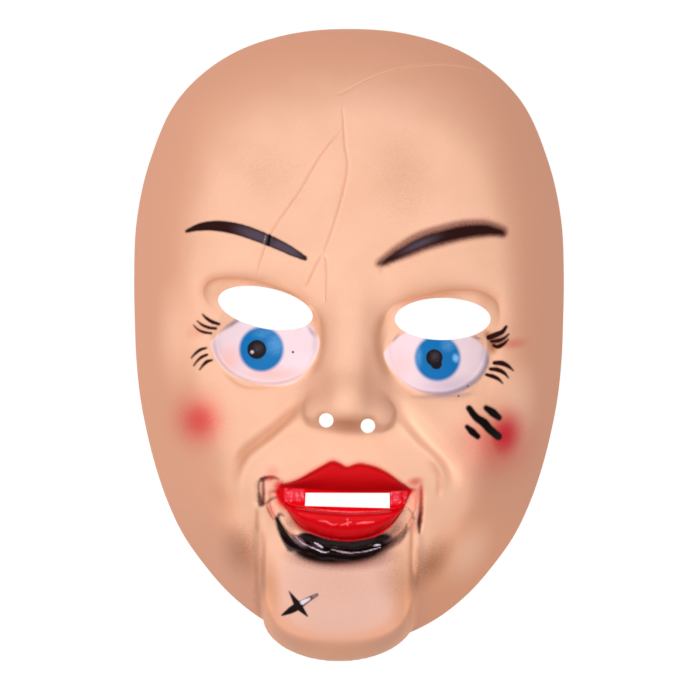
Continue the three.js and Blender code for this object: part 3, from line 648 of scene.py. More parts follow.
# Where two cracks meet, only one point is kept in each quarter of a millimetre.
_, first_in_cell = np.unique(np.round(crack_rows / 0.25), axis=0, return_index=True)
crack_rows = crack_rows[first_in_cell]
front_points = np.vstack([front_points[~near_edge(*front_points.T, [crack_rows], 0.4)], crack_rows])
back_points = lay_points(BACK_FINE, 2, rim_inner, back_lattice, BACK_BEND, gap=0.6)
front_plan, front_z, front_triangles = make_face(rim_outer, front_points, front_lattice)
back_plan, back_z, back_triangles = make_face(rim_inner, back_points, back_lattice)
on_rim = len(rim_outer)
front_z[on_rim:] = front_height(*front_plan[on_rim:].T)
print("front:", len(front_triangles), "triangles; back:", len(back_triangles))

# %% [markdown]
# The shell is one closed body. Both faces are smooth and only the cut edges are sharp, as a knife and a
# router leave them. Every vertex stays inside the box of the plain solid.


# %% One closed shell
def sew_shell():
    """The mask's mesh: both faces, the flat rim and the walls of the holes."""
    first_back = len(front_plan)
    faces = front_triangles.tolist() + (back_triangles[:, ::-1] + first_back).tolist()
    edges = []
    start = 0
    for number, loop in enumerate([rim_outer] + holes):
        here = start + np.arange(len(loop))
        after = start + (np.arange(len(loop)) + 1) % len(loop)
        if number == 0:
            faces += np.c_[after, here, here + first_back, after + first_back].tolist()
        else:
            faces += np.c_[here, after, after + first_back, here + first_back].tolist()
        edges += [(min(a, b), max(a, b)) for a, b in zip(here.tolist(), after.tolist())]
        start += len(loop)
    edges += [(a + first_back, b + first_back) for a, b in edges]
    places = np.vstack([np.c_[front_plan, front_z], np.c_[back_plan, back_z]]) * MM
    low, high = (np.array(corner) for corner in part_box("mask_shell"))
    places = np.clip(places, low, high)
    mesh = bpy.data.meshes.new("doll_mask")
    mesh.from_pydata(places.tolist(), [], faces)
    mesh.polygons.foreach_set("use_smooth", [True] * len(faces))
    ends = np.zeros(len(mesh.edges) * 2, int)
    mesh.edges.foreach_get("vertices", ends)
    ends = np.sort(ends.reshape(-1, 2), axis=1)
    sharp = set(edges)
    mesh.attributes.new("sharp_edge", "BOOLEAN", "EDGE").data.foreach_set(
        "value", [(a, b) in sharp for a, b in ends.tolist()])
    mesh.validate()
    mask = bpy.data.objects.new("doll_mask", mesh)
    bpy.context.collection.objects.link(mask)
    return mask


mask = sew_shell()
print("shell:", len(mask.data.vertices), "vertices,", len(mask.data.polygons), "faces")

# %% [markdown]
# ## Paint marks
# Each colour on the face has an edge, and the edge is kept as a distance in millimetres on every vertex:
# above zero inside the mark, below zero outside it. A material can then draw a crisp brush edge or a soft
# one from the same number. Sprayed paint is kept as an amount from 0 to 1 instead.

# %% Brushes and airbrush
px, py = front_plan.T
brushed, sprayed_on = {}, {}


def stroke(points, half_widths):
    """Distance inside a brush stroke whose half width changes along it."""
    distance, share, _ = along(px, py, points, reach=6.0)
    if np.ndim(half_widths) == 0:
        return half_widths - distance
    return np.interp(share, np.linspace(0, 1, len(half_widths)), half_widths) - distance


def strokes(lines):
    """Strokes of one colour joined into one mark."""
    return np.maximum.reduce([stroke(points, widths) for points, widths in lines])


def disc(centre, radius):
    """Distance inside a round dab."""
    return radius - np.hypot(px - centre[0], py - centre[1])


def mist(centre, size, strength, tilt=0.0, core=0.0):
    """Sprayed paint: its full strength inside the core share of an oval and nothing at the oval's edge."""
    u, v = in_oval(px, py, centre, size, tilt)
    return strength * smooth(1.0, core, np.hypot(u, v))


def mists(*puffs):
    """Puffs of one colour. Where they overlap, the strongest counts."""
    return np.maximum.reduce([mist(*puff) for puff in puffs])


def sprayed_lines(*lines):
    """Colour sprayed along curves, each with a width and a strength, and fading out at its ends."""
    amount = np.zeros_like(px)
    for points, width, strength in lines:
        distance, share, _ = along(px, py, points)
        ends = smooth(0, 0.25, share) * smooth(1, 0.75, share)
        amount = np.maximum(amount, strength * bell(distance, width) * ends)
    return amount


# %% [markdown]
# ## Flesh tones
# The sheet is cast in one colour, and light and shade are then sprayed on it as paint: a deeper, oranger
# flesh as painted shade where it turns away, down the walls, beside the nose and along every crease, and a
# lighter flesh as painted light over the cheeks.


# %% Where the sheet turns away
def blurred(lattice, radius):
    """The mean height over a square round each place, run twice so that it falls off softly."""
    width = int(radius / STEP)
    for _ in range(2):
        for axis in (0, 1):
            margin = [(width + 1, width) if k == axis else (0, 0) for k in (0, 1)]
            total = np.cumsum(np.pad(lattice, margin, "edge"), axis=axis)
            after = np.take(total, range(2 * width + 1, total.shape[axis]), axis=axis)
            before = np.take(total, range(total.shape[axis] - 2 * width - 1), axis=axis)
            lattice = (after - before) / (2 * width + 1)
    return lattice


BLUR = 6.0
broad = blurred(front_lattice, BLUR)
slope_x = read_lattice(broad, px + 1, py) - read_lattice(broad, px - 1, py)
slope_y = read_lattice(broad, px, py + 1) - read_lattice(broad, px, py - 1)
# Painted shade: a deeper, oranger flesh sprayed where the broad form is steep and turns away from the lamps.
sprayed_on["painted_wall_shade"] = smooth(0.4, 2.0, np.hypot(slope_x, slope_y) / 2)
print("deeper flesh covers", round(float((sprayed_on["painted_wall_shade"] > 0.5).mean()), 2), "of the points")

# %% Creases
# Painted shade: a darker flesh sprayed along the lid folds and under the balls, on the nose wings, beside
# the bridge and into the nostrils, and down the grooves beside the mouth and the jaw.
LEFT_FOLD, RIGHT_FOLD = EYES[0]["fold"][:12], EYES[1]["fold"][1:]
left_groove, left_ridge, right_groove, right_ridge = [CREASES[k][0] for k in (0, 1, 3, 4)]
LID_LINES = [
    (LEFT_FOLD, 0.8, 0.75), (LEFT_FOLD, 2.2, 0.4), (RIGHT_FOLD, 0.7, 0.75), (RIGHT_FOLD, 2.2, 0.35),
    ([(-51, -8.5), (-46.5, -13.4), (-39, -16.8), (-22, -16)], 0.9, 0.4),
    ([(17, -13.5), (25, -19.8), (36, -21.4), (46, -19.8), (54, -12)], 0.9, 0.2),
    ([(52.5, 5.6), (56.3, 2), (57, -4.5)], 1.5, 1.0),
]
NOSE_LINES = [
    ([(-10.5, -16.1), (-15.9, -19.1), (-17.8, -24), (-16.5, -28.8), (-12.3, -32.4)], 0.8, 0.3),
    ([(10.7, -17.3), (15.5, -21), (17.9, -25.8), (16.7, -30), (13.1, -34.2)], 0.8, 0.3),
    ([(-17, 17), (-11.8, 10), (-10.6, 1), (-12.5, -8), (-17, -14)], 2.0, 0.5),
    ([(17, 15.5), (12.2, 8), (11.4, -1), (14, -9), (19, -16)], 2.2, 0.55),
]
NOSTRIL_SHADE = [((-10, -28), (4.2, 3.2), 0.85), ((7.8, -29.4), (4.4, 3), 0.75)]
JAW_LINES = [
    (left_groove, 2.3, 0.65),
    ([(29.6, -44.5), (34.4, -48.7), (36.5, -54), (36.2, -60)], 1.3, 0.35),
    ([(-36, -63), (-36.3, -69), (-36.1, -75)], 0.8, 0.55),
    ([(-34.3, -68), (-34.1, -80), (-33.7, -104)], 0.8, 0.35),
    ([(-36.7, -82), (-36.5, -98), (-35.8, -111)], 1.0, 0.6),
    ([(24.7, -62), (24.4, -80), (24.1, -96), (24.4, -118)], 0.8, 0.75),
    ([(27.3, -77), (27.1, -86), (26.8, -98)], 0.9, 0.5),
]
sprayed_on["crease"] = np.maximum(
    mists(*NOSTRIL_SHADE), sprayed_lines(*LID_LINES, *NOSE_LINES, *JAW_LINES))

# %% Shade and light flesh
# Painted shade under the nose and beside it, over the eyes, on the lower left cheek and down both sides of
# the jaw.
sprayed_on["painted_shade_mist"] = mists(
    ((0.4, -30.4), (15, 5.4), 0.85, -3), ((7, -12), (4.2, 17), 0.3), ((-8.5, -16), (5, 14), 0.2),
    ((-49.5, -60.8), (13, 6.5), 0.45, -51), ((21, -96), (7.5, 22), 0.6), ((-31.5, -97), (6.5, 18), 0.8),
    ((-48, 21), (11, 5.5), 0.45, 8), ((-22, 18), (9, 4), 0.35, -25), ((33, 19), (16, 3.5), 0.35, 12),
    ((53, 15.5), (5, 7), 0.4))
# Painted light: a lighter flesh along the ridges beside the mouth and in the right groove, and misted over
# the cheeks, the left temple, the right of the jaw and the forehead.
sprayed_on["light"] = np.maximum(
    sprayed_lines((left_ridge, 1.2, 0.35), (right_groove, 3.0, 0.7), (right_ridge, 1.2, 0.4)),
    mists(((65, -22), (12.5, 24), 0.85), ((51, -42), (9, 10), 0.45), ((47, -82), (11, 18), 0.75, -30),
          ((-69, 4), (10, 28), 0.55), ((-58, -28), (11, 13), 0.4), ((-46, 88), (28, 24), 0.1)))
# Painted bounce light: a warmer flesh over the painted wall shade on the lower right of the face.
sprayed_on["warm"] = smooth(-55, -88, py) * smooth(22, 34, px) * sprayed_on["painted_wall_shade"]

# %% Flesh of the jaw block
chin_u, chin_v = in_oval(px, py, CHIN_CENTRE, CHIN_SIZE)
from_chin = np.hypot(chin_u, np.minimum(chin_v, 0))
# Painted bounce light: a lighter, oranger flesh on the foot of the chin and on its lower sides, where the
# sheet turns down to the table.
chin_foot_bounce_light = 0.8 * smooth(-117, -125, py)
chin_side_bounce_light = 0.6 * smooth(0.8, 0.95, from_chin) * smooth(-92, -104, py)
sprayed_on["foot"] = np.maximum(chin_foot_bounce_light, chin_side_bounce_light) * (from_chin < 1.02)
sprayed_on["pale"] = mists(((-4, -96), (35, 25), 0.8, 0.0, 0.5), ((-31, -98), (8, 17), 0.65))

# %% Cracks in the paint
CRACK_HALF_WIDTHS = [0.12] + [0.3] * 6 + [0.12]
LIT_HALF_WIDTHS = [0.05] + [0.25] * 6 + [0.05]
# Painted shade along the floor of each crack, and beside it, a little down and to the right, a painted
# highlight on its edge.
brushed["crack"] = strokes([(points, CRACK_HALF_WIDTHS) for points, _, _ in CRACKS])
brushed["crack_highlight"] = strokes([
    ([(x + 0.75, y - 0.2) for x, y in points], LIT_HALF_WIDTHS) for points, _, _ in CRACKS])
print("cracks:", len(CRACKS))

# %% [markdown]
# ## Eyes
# A white, a blue iris and a black pupil, all hand painted, with thin lashes drawn in ink at the corners.

# %% Eye paint
EYEBALLS = [
    [(-53.8, 1), (-51.4, -6), (-46.8, -10.7), (-40.2, -13.6), (-32.1, -15.4), (-25.2, -15.2), (-19.7, -12.7),
     (-14.7, -6.7), (-12.4, -0.7), (-12.9, 3.8), (-16.4, 8.4), (-32.2, 12.6), (-42.5, 10), (-49.4, 5.6)],
    [(14.3, -3), (16.5, -8.8), (21.6, -14.6), (27.3, -17.9), (36, -19.3), (43.3, -18.2), (50, -14.2),
     (54, -8.8), (54.6, -4.9), (53.7, -2), (52, 0.2), (48.7, 2.6), (44, 5), (26.8, 6), (18.4, 2.3)],
]
IRISES = [((-34.4, -1.7), 8.74), ((34.8, -5.2), 8.95)]
PUPILS = [((-36.2, -1.8), 3.76), ((33.5, -5), 3.3), ((34.3, -7.4), 2.2)]
SPECKS = [((-22, -2.8), 0.5), ((46.7, -16.2), 0.4), ((43.1, -20.1), 0.4)]
left_ball, right_ball = [inside_loop(px, py, ball) for ball in EYEBALLS]
brushed["eye_white"] = np.maximum(left_ball, right_ball)
for name, dabs in (("iris", IRISES), ("pupil", PUPILS), ("speck", SPECKS), ("glint", [((-38, -2.8), 0.6)])):
    brushed[name] = np.maximum.reduce([disc(*dab) for dab in dabs])
brushed["lid_rim"] = np.maximum(
    np.minimum(0.65 - np.abs(left_ball + 0.1), 0.3 * (3.5 - py)),
    np.minimum(0.5 - np.abs(right_ball + 0.1), np.minimum(0.3 * (1 - py), 0.12 * (27 - px))))
print("iris width, mm:", [round(2 * radius, 1) for _, radius in IRISES])

# %% Light and shade on the eyes
# Lighter patches on the irises, and a painted glint, a reflection, at the right edge of the right iris.
sprayed_on["iris_patches_and_glint"] = mists(
    ((-28.6, 0.4), (5.5, 6.5), 0.35), ((-33.5, 4.5), (7, 3), 0.2), ((39, 0), (4.5, 4), 0.3),
    ((27.2, -4.6), (2.2, 6.5), 0.35), ((42, -5.2), (1.9, 2.5), 1.0, 15, 0.15))
sprayed_on["pupil_sheen"] = mists(((-35.8, -1.2), (2.8, 2.8), 0.5), ((33.6, -4.6), (3, 3.2), 0.5))
sprayed_on["ball_shade"] = mists(
    ((40, -16), (19, 6), 0.55), ((53.5, -4), (2.6, 6), 0.5), ((-52, -1), (3, 7.5), 0.3),
    ((-13.4, 0.5), (1.8, 6), 0.3))
under_ball = 0.75 * bell(right_ball - 0.1, 0.75) * smooth(22, 42, px) * smooth(0, -8, py)
sprayed_on["lid_shade"] = np.maximum(under_ball, mists(
    ((-45.6, 8.5), (8, 1.5), 0.9, 32), ((-14.6, 5.2), (1.5, 4.5), 0.6, 35), ((37, -19.9), (17, 1.7), 0.7, 3),
    ((50.3, 2.8), (2.8, 0.8), 0.9, -18), ((18.4, 2.8), (4, 1), 0.6, 48)))
# Painted shade: a darker pink sprayed on the lower edges of the whites, where the balls curve away.
sprayed_on["pink_ball_edge_shade"] = mists(
    ((-47, -5.5), (8, 9), 0.75, 20), ((-30, -11.5), (18, 4.5), 0.75), ((20, -8), (7, 10), 0.4))

# %% Lashes
LASHES = [
    ([(-57.9, 12.2), (-56, 10.4), (-53.7, 9), (-51.2, 8.2)], [0.4, 0.8, 0.95, 0.75]),
    ([(-59.9, 9.5), (-57.7, 7.8), (-55.1, 6.8), (-52.4, 6.5)], [0.35, 0.7, 0.8, 0.7]),
    ([(-61.4, 7.9), (-59.3, 5.9), (-57, 5), (-54.3, 4.6)], [0.3, 0.6, 0.75, 0.6]),
    ([(-56.3, -1.2), (-58.6, -1.9), (-60.7, -3.5), (-62.1, -5.1)], [0.6, 0.8, 0.7, 0.45]),
    ([(-56, -3.9), (-57.9, -4.7), (-59.8, -6.3), (-61.2, -8.2)], [0.7, 0.8, 0.6, 0.4]),
    ([(-54, -6), (-55.8, -6.5), (-57.4, -7.9), (-58.8, -9.7)], [0.6, 0.9, 0.7, 0.4]),
    ([(62, 7.2), (60.5, 5.2), (57.9, 4), (55.1, 2.9)], [0.75, 1.2, 1.4, 1.3]),
    ([(63, 4.3), (61.2, 2.7), (58.9, 1.7), (56, 1.4)], [0.45, 0.8, 1.05, 0.7]),
    ([(62.9, 2.2), (60.8, 0.3), (58.6, -0.7), (57, -0.2)], [0.4, 0.85, 1.1, 0.8]),
    ([(57.3, -7.1), (60.2, -7.2), (62.8, -8.4), (64.8, -10.1)], [1.0, 1.35, 1.0, 0.4]),
    ([(55.7, -9.5), (58.6, -9.8), (61.2, -11.1), (62.9, -13)], [0.85, 1.2, 0.95, 0.4]),
    ([(54.1, -11.7), (56.7, -12.4), (58.9, -13.5), (60.5, -15.1)], [0.8, 1.1, 0.9, 0.4]),
]
LASH_THICKNESS = 0.82
brushed["lash"] = strokes([
    (points, [LASH_THICKNESS * width for width in widths]) for points, widths in LASHES])
# Painted shade between the right ball and its lashes.
sprayed_on["shade_by_lashes"] = mist((58.6, 1.6), (5.6, 4), 0.6, 20)
print("lashes:", len(LASHES))

# %% [markdown]
# ## Brows, lips and the band under the mouth
# The brows are thick brush strokes. The lips are a bright lacquer red, and the jaw lip under them is
# lacquered black, then feathered out with an airbrush.

# %% Brows
LEFT_BROW = [(-64.1, 44.9), (-58.8, 46.5), (-52.5, 46.9), (-45.9, 46), (-40.4, 44.5), (-32.5, 41.5),
             (-25.5, 38.3), (-19.8, 35.3), (-17.3, 34)]
RIGHT_BROW = [(12.3, 31.8), (19.7, 35.9), (28.9, 40.3), (37.4, 42.9), (45.1, 44.7), (52.6, 45.5), (57, 45.2),
              (60.4, 44.4)]
RIGHT_BROW_SOFTNESS = 0.45
left_brow = stroke(LEFT_BROW, [0.7, 1.65, 2.15, 2.35, 2.4, 2.3, 2.1, 1.8, 1.0])
right_brow = stroke([(x, y - 0.2) for x, y in RIGHT_BROW], [0.8, 1.7, 2.2, 2.5, 2.6, 2.6, 2.3, 1.2])
brushed["brow"] = np.maximum(left_brow, RIGHT_BROW_SOFTNESS * right_brow)
sprayed_on["brow_mist"] = 0.75 * smooth(-1.9, 0.4, stroke(
    [(x - 0.2, y + 0.3) for x, y in RIGHT_BROW], [1.0, 2.3, 3.2, 3.5, 3.5, 3.4, 3.0, 1.8]))
# Painted sheen: a violet grey on the inner halves of the brows, where they face the lamps.
sprayed_on["brow_sheen"] = mists(
    ((-25, 37.6), (10.5, 5), 0.9, -25, 0.3), ((-36.5, 43), (13, 5), 0.9, -20, 0.1),
    ((27, 39.6), (13.5, 4.5), 0.9, 24, 0.1))
# Where the crack crosses the left brow: painted shade inside it, and a painted highlight on its edge.
brushed["brow_crack_shade"] = stroke([(-31, 43.8), (-31.8, 39)], 0.5)
brushed["brow_crack_highlight"] = stroke([(-32.6, 43.6), (-33.4, 39.6)], 0.2)

# %% Outline of the lips
mouth_u, mouth_v = mouth_frame(px, py)
lip_top, lip_seam, lip_ledge, lip_bottom = mouth_lines(mouth_u)
over_foot = mouth_v - lip_bottom
over_seam = mouth_v - lip_seam
LIP_HALF_WIDTH = 25.8
RECESS_HALF_WIDTH = 24.0
corner = stroke([(-26.2, -54.9), (-27.2, -57.2), (-26.6, -60), (-24.4, -63.6)], [0.5, 1.3, 1.3, 0.6])
lip = np.minimum.reduce([
    lip_top + 0.7 * bell(mouth_u + 13, 7.0) - mouth_v,
    over_foot + 0.5 * smooth(5, 15, mouth_u),
    LIP_HALF_WIDTH - np.abs(mouth_u),
])
softer_corner = 1 - 0.4 * smooth(-6, -20, mouth_u) * smooth(-2, -8, mouth_v)
brushed["lip"] = np.maximum(lip, corner) * softer_corner
brushed["lower_lip"] = lip_ledge - mouth_v
brushed["recess"] = np.minimum.reduce([-over_seam, mouth_v - lip_ledge, RECESS_HALF_WIDTH - np.abs(mouth_u)])

# %% Tones of the lips
# Painted shade: the upper lip darkens towards the seam, where it turns down and away.
sprayed_on["upper_lip_shade"] = 0.65 * smooth(7.5, 0.6, over_seam) * smooth(-0.4, 0.6, over_seam)
sprayed_on["lip_foot"] = 0.6 * smooth(5.0, 1.0, over_foot)
sprayed_on["lip_soot"] = 0.6 * smooth(1.5, -0.3, over_foot) * smooth(15, 8, np.abs(mouth_u - 1))
sprayed_on["lip_mist"] = 0.55 * smooth(-2.0, 0.4, brushed["lip"])
# Lighter pink patches in the recess beside the slot, laid as boxes of colour.
RECESS_PATCHES = [(-21.6, -59.0, 3.9, 2.4), (18.3, -60.0, 1.9, 2.5), (22.4, -60.0, 1.0, 2.5)]
brushed["recess_pink"] = np.maximum.reduce([
    np.minimum(half_x - np.abs(px - x), half_y - np.abs(py - y)) for x, y, half_x, half_y in RECESS_PATCHES])
brushed["lip_glint"] = strokes([
    ([(-21, -64.1), (-10, -65), (0.2, -65.7), (9, -65.5), (15.4, -65)], [0.05, 0.15, 0.3, 0.2, 0.05]),
    ([(-11.8, -68.9), (-9, -69.2), (-6.6, -70.4), (-4.5, -70.2)], [0.1, 0.3, 0.25, 0.1]),
    ([(-0.6, -68.2), (-0.4, -70.6)], [0.15, 0.25]),
    ([(-3.4, -70.7), (-0.5, -69.9), (1.2, -69.2)], [0.1, 0.3, 0.1]),
    ([(3, -70), (6.5, -69.6), (9.9, -69.4)], [0.15, 0.4, 0.15]),
])

# %% Black band
BAND_EDGE = [
    (-21.2, -75.6), (-17.2, -73.9), (-9, -75.6), (0.2, -76.6), (9.5, -75), (14, -74.4), (16.8, -76.2),
    (14.1, -79.8), (9.5, -82.8), (2.5, -84.7), (-6.7, -85.4), (-13.7, -84.7), (-19.2, -82.7), (-22.2, -79.8),
    (-24, -76.6),
]
TAIL_FEATHER = 0.9
band = inside_loop(px, py, BAND_EDGE)
tail = stroke([(-28.2, -68.4), (-27, -71.6), (-25, -75.4), (-22.4, -78.9)], [0.5, 1.1, 1.6, 2.2])
below_arc = py - 0.012 * (px + 1) ** 2
feather = 0.5 + 1.2 * smooth(-78, -82, below_arc) + 0.9 * smooth(9, 15, px)
sprayed_on["black"] = smooth(-1.0, 0.6, np.maximum(band / feather, tail / TAIL_FEATHER) + 0.2)
streak = stroke([(12, -79.5), (17.5, -77), (22.8, -72)], [2.4, 1.8, 0.6])
sprayed_on["band_haze"] = np.maximum(0.7 * smooth(-1.5, 1.0, streak), mists(
    ((-3, -82.3), (26, 7.8), 0.9, 0, 0.35), ((-16.5, -71.6), (8.5, 4), 0.95, -30, 0.2),
    ((17.5, -73.4), (10, 4.4), 0.75, 38)))
sprayed_on["band_sheen"] = mists(
    ((-19.8, -76.9), (5, 1.9), 0.9, -40, 0.4), ((-12.5, -79.4), (4, 0.9), 0.5, -25),
    ((16.6, -76.4), (4.5, 1.3), 0.6, 30))
brushed["band_glint"] = strokes([
    ([(-21.2, -75.2), (-18.9, -77.3), (-16.1, -78.9), (-13.3, -80.1), (-10.1, -81.4), (-7.7, -81.2)],
     [0.15, 0.25, 0.15, 0.2, 0.25, 0.05]),
    ([(-7, -80.3), (-3.6, -81.2), (1.2, -81.7), (6.8, -81), (9.5, -80.3), (12.3, -79.5)],
     [0.1, 0.25, 0.2, 0.1, 0.2, 0.1]),
    ([(-13.8, -77.5), (-12.2, -78.5), (-10.7, -79.5)], [0.1, 0.3, 0.4]),
    ([(9.6, -78.9), (11, -78.7), (12.3, -78.6)], [0.1, 0.3, 0.15]),
])

# %% Mouth corners
brushed["mouth_shadow"] = strokes([
    ([(-35.3, -53.8), (-34.2, -52.9), (-32.4, -52.2)], [0.5, 0.8, 0.3]),
    ([(-35.5, -54.5), (-35.6, -57), (-35.1, -60), (-34.6, -62.4)], [0.3, 0.35, 0.9, 1.2]),
    ([(-32.5, -62.3), (-31, -61), (-29.4, -60.1), (-27.7, -59.6)], [0.35, 0.4, 0.35, 0.1]),
    ([(-28.4, -68.4), (-27.2, -66.6), (-25.7, -67.2)], [0.5, 0.7, 0.2]),
    ([(25.1, -67.6), (25.4, -68.2)], 0.35),
    ([(28, -65.8), (27.6, -69.6), (27.6, -73.6)], [0.1, 0.6, 0.15]),
    ([(23.4, -64.4), (25, -66.2), (25.4, -67.6)], [0.05, 0.12, 0.1]),
    ([(14, -79.2), (18.5, -76.8), (21.8, -73.4)], [0.2, 0.3, 0.1]),
    ([(19.8, -77.6), (21.8, -74.6), (22.6, -70.6)], [0.1, 0.35, 0.12]),
])
brushed["mouth_red"] = strokes([
    ([(-34.4, -52.6), (-32, -52), (-29.6, -52), (-27.8, -52.6)], [0.5, 0.7, 0.75, 0.3]),
    ([(-33.6, -53.6), (-33.6, -58), (-33.6, -62.3)], [0.5, 0.65, 0.7]),
    ([(-32.4, -63.2), (-31.2, -66), (-29.7, -68.4)], [0.2, 0.35, 0.2]),
    ([(28.4, -55.4), (28.5, -61), (28.3, -65.6), (27.8, -70), (27.7, -74)], [0.05, 0.3, 0.75, 0.95, 0.2]),
])
sprayed_on["corner_red"] = mists(
    ((-27.6, -55.2), (3.2, 4.2), 0.8, -10), ((26, -53.6), (4.8, 2.6), 0.65, 8),
    ((-31.5, -52.6), (4.2, 1.8), 0.6), ((-27, -60), (2, 5), 0.5), ((28.2, -58), (1.9, 8), 0.65))
sprayed_on["strip_pink"] = mists(
    ((26.4, -60), (3.6, 10), 0.5), ((-29.5, -57.5), (4.2, 7), 0.35), ((-30, -49.8), (4.5, 3.6), 0.4),
    ((-30.6, -65), (2.4, 6.5), 0.6, 25), ((25, -70), (2.4, 7), 0.4))

# %% [markdown]
# ## Blush, ink, soot and painted shade
# The cheeks are sprayed red, and one is crossed with dark stitches. A small cross is inked on the chin, and
# a thin brown is misted into the hollows, partly to age the face and partly as painted shade.

# %% Stitches and the cross
brushed["stitch"] = strokes([
    ([(47.2, -24.9), (49.9, -28.4), (53.1, -30.6), (55.4, -33.2), (58.8, -36)], [1.3, 1.5, 1.8, 1.7, 1.6]),
    ([(54, -24.8), (56.4, -26.5), (59, -28.6)], [1.2, 1.7, 1.3]),
    ([(46.4, -32.2), (48.3, -34), (50.6, -36)], [1.0, 1.5, 1.2]),
])
CROSS_MIDDLE = (-19.9, -102.6)
brushed["cross"] = strokes([
    ([CROSS_MIDDLE, (-21.7, -99.8), (-23.5, -96.9)], [1.6, 0.9, 0.25]),
    ([CROSS_MIDDLE, (-23.3, -104.6), (-26.3, -106.3)], [1.7, 1.35, 0.4]),
    ([CROSS_MIDDLE, (-18.1, -104.7), (-16.4, -106.6)], [1.6, 0.95, 0.35]),
    ([CROSS_MIDDLE, (-16.2, -100.2), (-12.6, -98.2)], [1.5, 1.05, 0.6]),
])
# Painted highlight on the upper right arm of the cross, fading out to a grey at its end.
brushed["cross_highlight"] = stroke([(-18.2, -101.2), (-15.6, -99.8)], [0.9, 0.5])
sprayed_on["cross_highlight_fade"] = mist((-13.4, -98.6), (2.6, 1.8), 0.6, 30)

# %% Blush, soot and painted shade
sprayed_on["blush"] = np.maximum.reduce([
    0.82 * swell(px, py, (-59.1, -29.6), (8.9, 8.9), 0.0, 2.4),
    swell(px, py, (61.6, -35.8), (7.4, 10.2), -12.0, 2.6),
    0.6 * swell(px, py, (57.5, -38.8), (12.5, 11.5)),
])
sprayed_on["haze"] = mists(((-60, 5.5), (7.5, 4.5), 0.22, 20), ((64.7, 0.5), (8.5, 3.2), 0.5, 8))
# A sprayed brown: in patches on the forehead and beside the band's tail, and as painted shade in the hollows
# beside and under the jaw.
sprayed_on["soot_and_hollow_shade"] = mists(
    ((21, 66), (18, 30), 0.16), ((-33, 70), (24, 24), 0.1), ((-42, -81), (12, 16), 0.55),
    ((32, -86), (8.5, 17), 0.68, -36), ((17, -92), (12, 13), 0.25), ((-4, -94), (30, 14), 0.12),
    ((-23, -70.5), (3.4, 5), 0.5, 20))

# %% Marks on the mesh
OUTSIDE = -50.0
for names, on_back in ((brushed, OUTSIDE), (sprayed_on, 0.0)):
    for name, value in names.items():
        whole = np.full(len(front_plan) + len(back_plan), on_back)
        whole[:len(front_plan)] = value
        mask.data.attributes.new(name, "FLOAT", "POINT").data.foreach_set("value", whole.astype(np.float32))
print("brushed marks:", ", ".join(brushed))
print("sprayed marks:", ", ".join(sprayed_on))

# %% [markdown]
# ## Materials
# The sheet is PVC, softened by heat and drawn over a mould: a warm, slightly soft plastic with a satin
# surface and an IOR of 1.5. The paint sits on it in thin coats: flat acrylic for skin tints and ink, satin
# for the eyes, gloss lacquer for the lips and the black band. Every pattern is sized in millimetres.


# %% Colours and nodes
def linear(code):
    """An sRGB hex colour as the linear one that a shader takes."""
    values = [int(code[k:k + 2], 16) / 255 for k in (0, 2, 4)]
    return [v / 12.92 if v <= 0.04045 else ((v + 0.055) / 1.055) ** 2.4 for v in values] + [1.0]


def add(tree, kind, inputs=(), output=0, **settings):
    """Adds a node and hands back one of its outputs. An input takes a number, a colour or such an output."""
    node = tree.nodes.new(kind)
    for name, value in settings.items():
        setattr(node, name, value)
    for key, value in dict(inputs).items():
        if isinstance(value, bpy.types.NodeSocket):
            tree.links.new(value, node.inputs[key])
        else:
            node.inputs[key].default_value = linear(value) if isinstance(value, str) else value
    return node.outputs[output]


# %% [markdown]
# Both faces of the sheet need the same three things: a surface to start from, lumps and clouds that break
# up its flat colour, and the fine pores of the mould. The paint's material then builds on them.

# %% Plain plastic
PLASTIC_IOR = 1.5
EASED = dict(interpolation_type="SMOOTHSTEP")


def start_material(name, base, roughness):
    """A new plastic, with its node tree and its shader."""
    material = bpy.data.materials.new(name)
    material.use_nodes = True
    shader = material.node_tree.nodes["Principled BSDF"]
    shader.inputs["Base Color"].default_value = linear(base)
    shader.inputs["Roughness"].default_value = roughness
    shader.inputs["IOR"].default_value = PLASTIC_IOR
    return material, material.node_tree, shader


def lumps(tree, size_mm, detail=2.0):
    """Lumps of about a real size, over the object's own coordinates."""
    place = add(tree, "ShaderNodeTexCoord", output="Object")
    return add(tree, "ShaderNodeTexNoise", {"Vector": place, "Scale": 1 / (size_mm * MM), "Detail": detail})


def clouded(tree, size_mm, one, other):
    """Two close colours in soft clouds, as plastic takes up its pigment."""
    amount = add(tree, "ShaderNodeMapRange", {0: lumps(tree, size_mm, 3.0), 1: 0.3, 2: 0.7}, **EASED)
    return add(tree, "ShaderNodeMix", {0: amount, 6: one, 7: other}, 2, data_type="RGBA")


def uneven(tree, amount, least, most):
    """A number that wanders between two limits with the lumps."""
    return add(tree, "ShaderNodeMapRange", {0: amount, 1: 0.2, 2: 0.8, 3: least, 4: most}, **EASED)


def press_pores(tree, shader, size_mm, strength, depth_mm):
    """The fine pores that the mould leaves."""
    height = {"Height": lumps(tree, size_mm, 3.0), "Strength": strength, "Distance": depth_mm * MM}
    tree.links.new(add(tree, "ShaderNodeBump", height), shader.inputs["Normal"])


# %% [markdown]
# ## Paint, coat by coat
# The painted face is one material. It starts as the bare sheet, and every coat is mixed over what is
# there, in the order in which a painter lays them down. A mark's coverage comes from its numbers on the
# mesh: the brush gives it an edge that wanders a little, and the airbrush breaks it up into droplets. The
# shine is turned down, because flat paint hardly mirrors a lamp.

